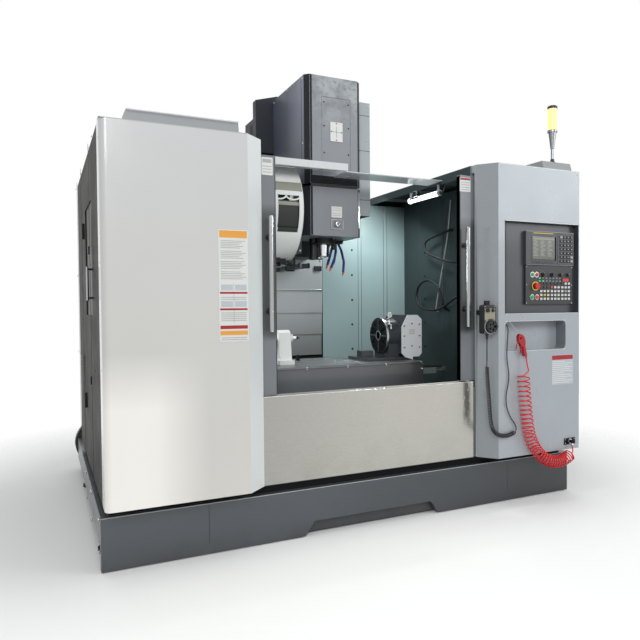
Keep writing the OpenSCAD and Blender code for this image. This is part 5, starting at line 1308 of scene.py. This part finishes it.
def make_display_pieces():
    frame_strip("screen_rim", 1248, PANEL_FACE - 4.5, 1701, 226, 176, 9, 5, "bezel", "machine", 6)
    edges = [(1092, 1512, 1811, 1813.6), (1092, 1512, 1589, 1590.6)]
    marks("display_edge", edges, DISPLAY_FACE, (0, 1), "label_grey", 0.0004)
    marks("display_split", [(1367, 1369, 1592, 1810)], DISPLAY_FACE, (0, 1.2), "black")
    marks("display_stripe", [(1155, 1328, 1799, 1804)], DISPLAY_FACE, (0, 1), "key_yellow")
    glass = DISPLAY_FACE + 4.4
    marks("screen_lit_area", [(1150, 1346, 1628, 1774)], glass, (-0.5, 0), "screen", 0.0002)
    marks("screen_bar", [(1154, 1342, 1758, 1770)], glass, (0, 0.5), "screen_bar", 0.0001)
    widths = (44, 30, 38, 26, 44, 40, 22, 36, 44, 28, 38, 30)
    text = [(x, x + w, z, z + 3) for x in (1158, 1220, 1282) for z, w in zip(range(1650, 1752, 9), widths)]
    marks("screen_lines", text, glass, (0, 0.5), "screen_text", 0.0001)
    softs = [(x, x + 12, 1603, 1607) for x in range(1152, 1321, 28)]
    marks("soft_marks", softs, DISPLAY_FACE, (1, 2.2), "key_ivory")
    caps = []
    marked = []
    for k in range(4):
        for row in range(7):
            x, z = 1387.5 + 31 * k, 1611.5 + 27 * row
            (marked if (k, row) in ((3, 0), (3, 1), (0, 6)) else caps).append((x, x + 21, z, z + 16))
    marks("mdi_caps", caps, DISPLAY_FACE, (2.6, 5.4), "black", 0.0016)
    marks("mdi_marked", marked, DISPLAY_FACE, (2.6, 5.4), "key_grey", 0.0016)
    legends = [(x0 + 6, x1 - 6, z0 + 6, z0 + 9) for x0, x1, z0, _ in caps]
    marks("mdi_legends", legends, DISPLAY_FACE, (5.3, 5.7), "key_ivory", 0.0001)


def make_key_pieces():
    """Three groups of keys; the coloured and the blank ones stand out."""
    colours = {(0, 1, 1): "key_yellow", (1, 3, 0): "dot_red", (2, 2, 1): "key_grey"}
    caps = {}
    legends = []
    for column in range(9):
        group, k = divmod(column, 3)
        for row in range(5):
            x, z = 1216 + 94 * group + 30 * k, 1354 + 26 * row
            blank = row == 4 and column < 7 or row == 3 and column < 3
            kind = colours.get((group, row, k), "console" if blank else "key_white")
            caps.setdefault(kind, []).append((x + 1.5, x + 20.5, z + 1.5, z + 15.5))
            if not blank:
                legends.append((x + 6, x + 14, z + 10, z + 12.5))
    for kind, spans in caps.items():
        marks(f"keys_{kind}", spans, PANEL_FACE, (2.2, 4.6), kind, 0.0014)
    marks("key_marks", legends, PANEL_FACE, (4.5, 4.9), "black", 0.0001)


def make_panel_lights():
    leds = [(1207.5 + 30 * k, 1222.5 + 30 * k, z, z + 5) for k in range(7) for z in (1479.5, 1499.5)]
    marks("status_leds", leds[3:], PANEL_FACE, (0.8, 2.4), "key_grey", 0.0006)
    marks("status_leds_on", leds[:3], PANEL_FACE, (0.8, 2.4), "led_green", 0.0006)
    frame_strip("red_display_rim", 1448, PANEL_FACE, 1490, 70, 34, 4, 3, "black", "machine", 3)
    marks("red_display_glass", [(1417, 1479, 1477, 1503)], PANEL_FACE, (0.2, 1.2), "screen_glass")
    segments = []
    for x in (1426, 1444, 1462):
        segments += [(x, x + 9, z, z + 2) for z in (1481, 1489, 1497)]
        segments += [(x + dx, x + dx + 2, 1481, 1499) for dx in (0, 8)]
    marks("red_display_digits", segments, PANEL_FACE, (1.1, 1.6), "led_red", 0.0001)


def make_dial_pieces():
    ring("stop_collar", (1178, PANEL_FACE, 1448), 30, 17, 2.6, "yellow")
    dial_row = 1524
    cap_row = 1526
    cycle_row = 1374
    for k, x in enumerate((1152, 1189, 1238, 1316)):
        ring(f"control_ring_{k}", (x, PANEL_FACE, dial_row), 19, 12, 2.2, "chrome" if k < 2 else "key_grey")
    for body, x in (("mode_knob", 1238), ("feed_knob", 1316)):
        pointer = [(x - 1, x + 1, cap_row, cap_row + 12)]
        marks(f"{body}_mark", pointer, PANEL_FACE, (21.8, 23.2), "key_ivory", 0.0002, body)
        dots = dial_dots((x, dial_row), 25, 1, -120, 30, 9)
        marks(f"{body}_scale", dots, PANEL_FACE, (0, 0.9), "key_ivory", 0.0001)
    dial = ((15, 0), (15, 3), (11, 4), (10, 15), (8, 16), (0.1, 16))
    for k, (name, x) in enumerate((("third_dial", 1400), ("fourth_dial", 1466))):
        lathe(name, (x, PANEL_FACE, cap_row), dial, "black")
        pointer = [(x - 1, x + 1, cap_row + 2, cap_row + 10)]
        marks(f"dial_line_{k}", pointer, PANEL_FACE, (15.8, 17), "key_ivory", 0.0002)
    button = ((15, 0), (15, 3), (12, 4), (12, 8), (10.5, 9.5), (0.1, 10))
    for k, (x, colour) in enumerate(((1150, "green"), (1192, "dot_red"))):
        lathe(f"cycle_button_{k}", (x, PANEL_FACE, cycle_row), button, colour)
        ring(f"cycle_ring_{k}", (x, PANEL_FACE, cycle_row), 18, 14, 2.4, "chrome")
    screws("panel_screws", grid((1102, 1502), PANEL_FACE, (1334, 1456, 1578)), 4, 2.4)


def make_cabinet_pieces():
    face = CABINET_FACE
    rims = {"console_edges": (1538, 1264, 1267, 1868, 1872), "pocket_edges": (1422, 1018, 1021, 1215, 1218)}
    for name, (x1, *heights) in rims.items():
        edges = [(900, x1, *heights[:2]), (900, x1, *heights[2:])]
        marks(name, edges, face, (-2, 0.8), "rim_white", 0.0005)
    grommet = ((14, 0), (14, 4), (10, 5), (10, 0.5), (0.1, 0.5))
    lathe("pocket_grommet", (917, POCKET_BACK, 1200), grommet, "rubber")
    rivets("cabinet_rivets", grid((870, 1520), face, (350, 980, 2210)), 5, 3)
    plate("right_plate", 1393, face, 880, 196, 204, "plate_tone", 5)
    marks("right_plate_red", [(1299, 1487, 948, 978)], face, (1.1, 1.9), "label_red")
    widths = (150, 176, 120, 176, 168, 100, 176, 160, 176, 140, 176, 110)
    lines = [(1302, 1302 + w, z, z + 4) for z, w in zip(range(790, 940, 13), widths)]
    marks("right_plate_lines", lines, face, (1.1, 1.9), "key_white", 0.0002)
    boxes("right_side_seams", [(1545, 1547, d, d + 4, 340, 2226) for d in (420, 1120, 1600)], "black", 0.0003)
    coupler_x, coupler_face = 1457, -118
    ring("coupler_collar", (coupler_x, coupler_face, 383), 17, 11, 6, "chrome")
    coupler = ((9, -18), (10, -14), (10, 0), (7, 3), (7, 8))
    lathe("coupler_body", (coupler_x, -142, 361), coupler, direction=DOWN)
    screws("coupler_screws", grid((1416, 1498), coupler_face, (370, 396)), 4, 2.4)
    boxes("chamfer_seam", [(752, 758, -1, 1, 332, 2230)], "label_grey", 0.0006)
    for k, z in enumerate((700, 1500)):
        marks(f"cabinet_seam_{k}", [(1544, 1546.8, z, z + 160)], face, (-1, 0.4), "label_grey", 0.0002)


def make_pendant_pieces():
    face = PENDANT_FACE
    x, z = WHEEL
    plate("pendant_face", 764, face, 1264, 82, 76, "pendant_beige", 6, thickness=1.4)
    left, right, row = 742, 787, 1290
    dots = [dot for middle in (left, right) for dot in dial_dots((middle, row), 19, 0.8, -110, 27, 9)]
    marks("pendant_marks", dots, face, (1.3, 2.2), "black", 0.0001)
    knob = ((12, 0), (12, 3), (10, 4), (9, 15), (7, 16.5), (0.1, 16.5))
    lathe("pendant_knob", (right, face - 1.4, row), knob, "black")
    pointer = [(right - 0.8, right + 0.8, row, row + 9)]
    marks("pendant_knob_mark", pointer, face, (17.8, 18.6), "key_ivory", 0.0001)
    pointer = [(left - 0.8, left + 0.8, row, row + 9)]
    marks("pendant_dial_mark", pointer, face, (15.4, 16.6), "key_ivory", 0.0001, "pendant_dial")
    ring("wheel_scale", (x, face - 0.2, z), 49, 43, 1.2, "label_grey")
    ring("wheel_rim", (x, face - 18, z), 38, 33, 1.2, "foot", "pendant_wheel")
    marks("wheel_marks", dial_dots(WHEEL, 47, 0.8, 0, 18, 20), face, (1.2, 2), "black", 0.0001)
    rivets("pendant_screws", grid((726, 802), face, (1148, 1314)), 3.4, 2)
    gland = ((12, 0), (12, 8), (9, 11), (9, 22), (6, 34))
    lathe("cord_gland", (762, -102, 1140), gland, "rubber", direction=DOWN)
    boxes("pendant_hook", [(748, 782, -104, -92, 1322, 1342), (742, 788, -98, -92, 1330, 1352)], "foot", 0.003)


# Base, front strips and the back

def make_base_pieces():
    x0, x1 = -697, 728
    boxes("stainless_top_edge", [(x0, x1, -1, 2, 820.5, 824.4)], "chrome", 0.001)
    boxes("stainless_low_edge", [(x0, x1, -0.8, 2, 327, 330)], "seam", 0.0008)
    boxes("base_front_edge", [(-1548, 1548, -0.7, 1.5, 272.5, 277)], "label_grey", 0.0008)
    boxes("base_seams", [(x, x + 2.5, -0.5, 1, 60, 270) for x in (-1010, 1010)], "black", 0.0003)
    for k, x in enumerate((-1300, -500, 500, 1300)):
        rods(f"foot_nut_{k}", [((x, 120, 6), 20, 50, 20), ((x, 120, 30), 32, 16, 6)], "foot")


def make_back_pieces():
    back = REAR_DOOR_FACE
    seams = [(953, 957, 345, 2048), (490, 1420, 344, 348), (490, 1420, 2044, 2048)]
    marks("door_seams", seams, back, (-1.6, 0.5), "black", 0.0004)
    boxes("door_handles", [(x, x + 22, back, back + 16, 1020, 1150) for x in (925, 965)], "foot", 0.003)
    hinges = [(x, x + 16, back, back + 12, z, z + 90) for x in (486, 1408) for z in (460, 1180, 1880)]
    boxes("door_hinges", hinges, "foot", 0.003)
    places = grid((500, 940, 1000, 1410), back, (338, 2056))
    rivets("cabinet_back_screws", places, 6, 4, direction=REAR)


for make in (
        make_head_pieces, make_nozzle_pieces, make_drum_pieces, make_arm_pieces, make_wall_pieces,
        make_cover_pieces, make_table_pieces, make_faceplate_pieces, make_rotary_pieces, make_door_pieces,
        make_left_plate, make_left_pieces, make_top_pieces, make_light_pieces, make_display_pieces,
        make_key_pieces, make_panel_lights, make_dial_pieces, make_cabinet_pieces, make_pendant_pieces,
        make_base_pieces, make_back_pieces, paint_cabinet_faces, paint_head_faces, paint_door_faces,
        paint_other_faces):
    make()
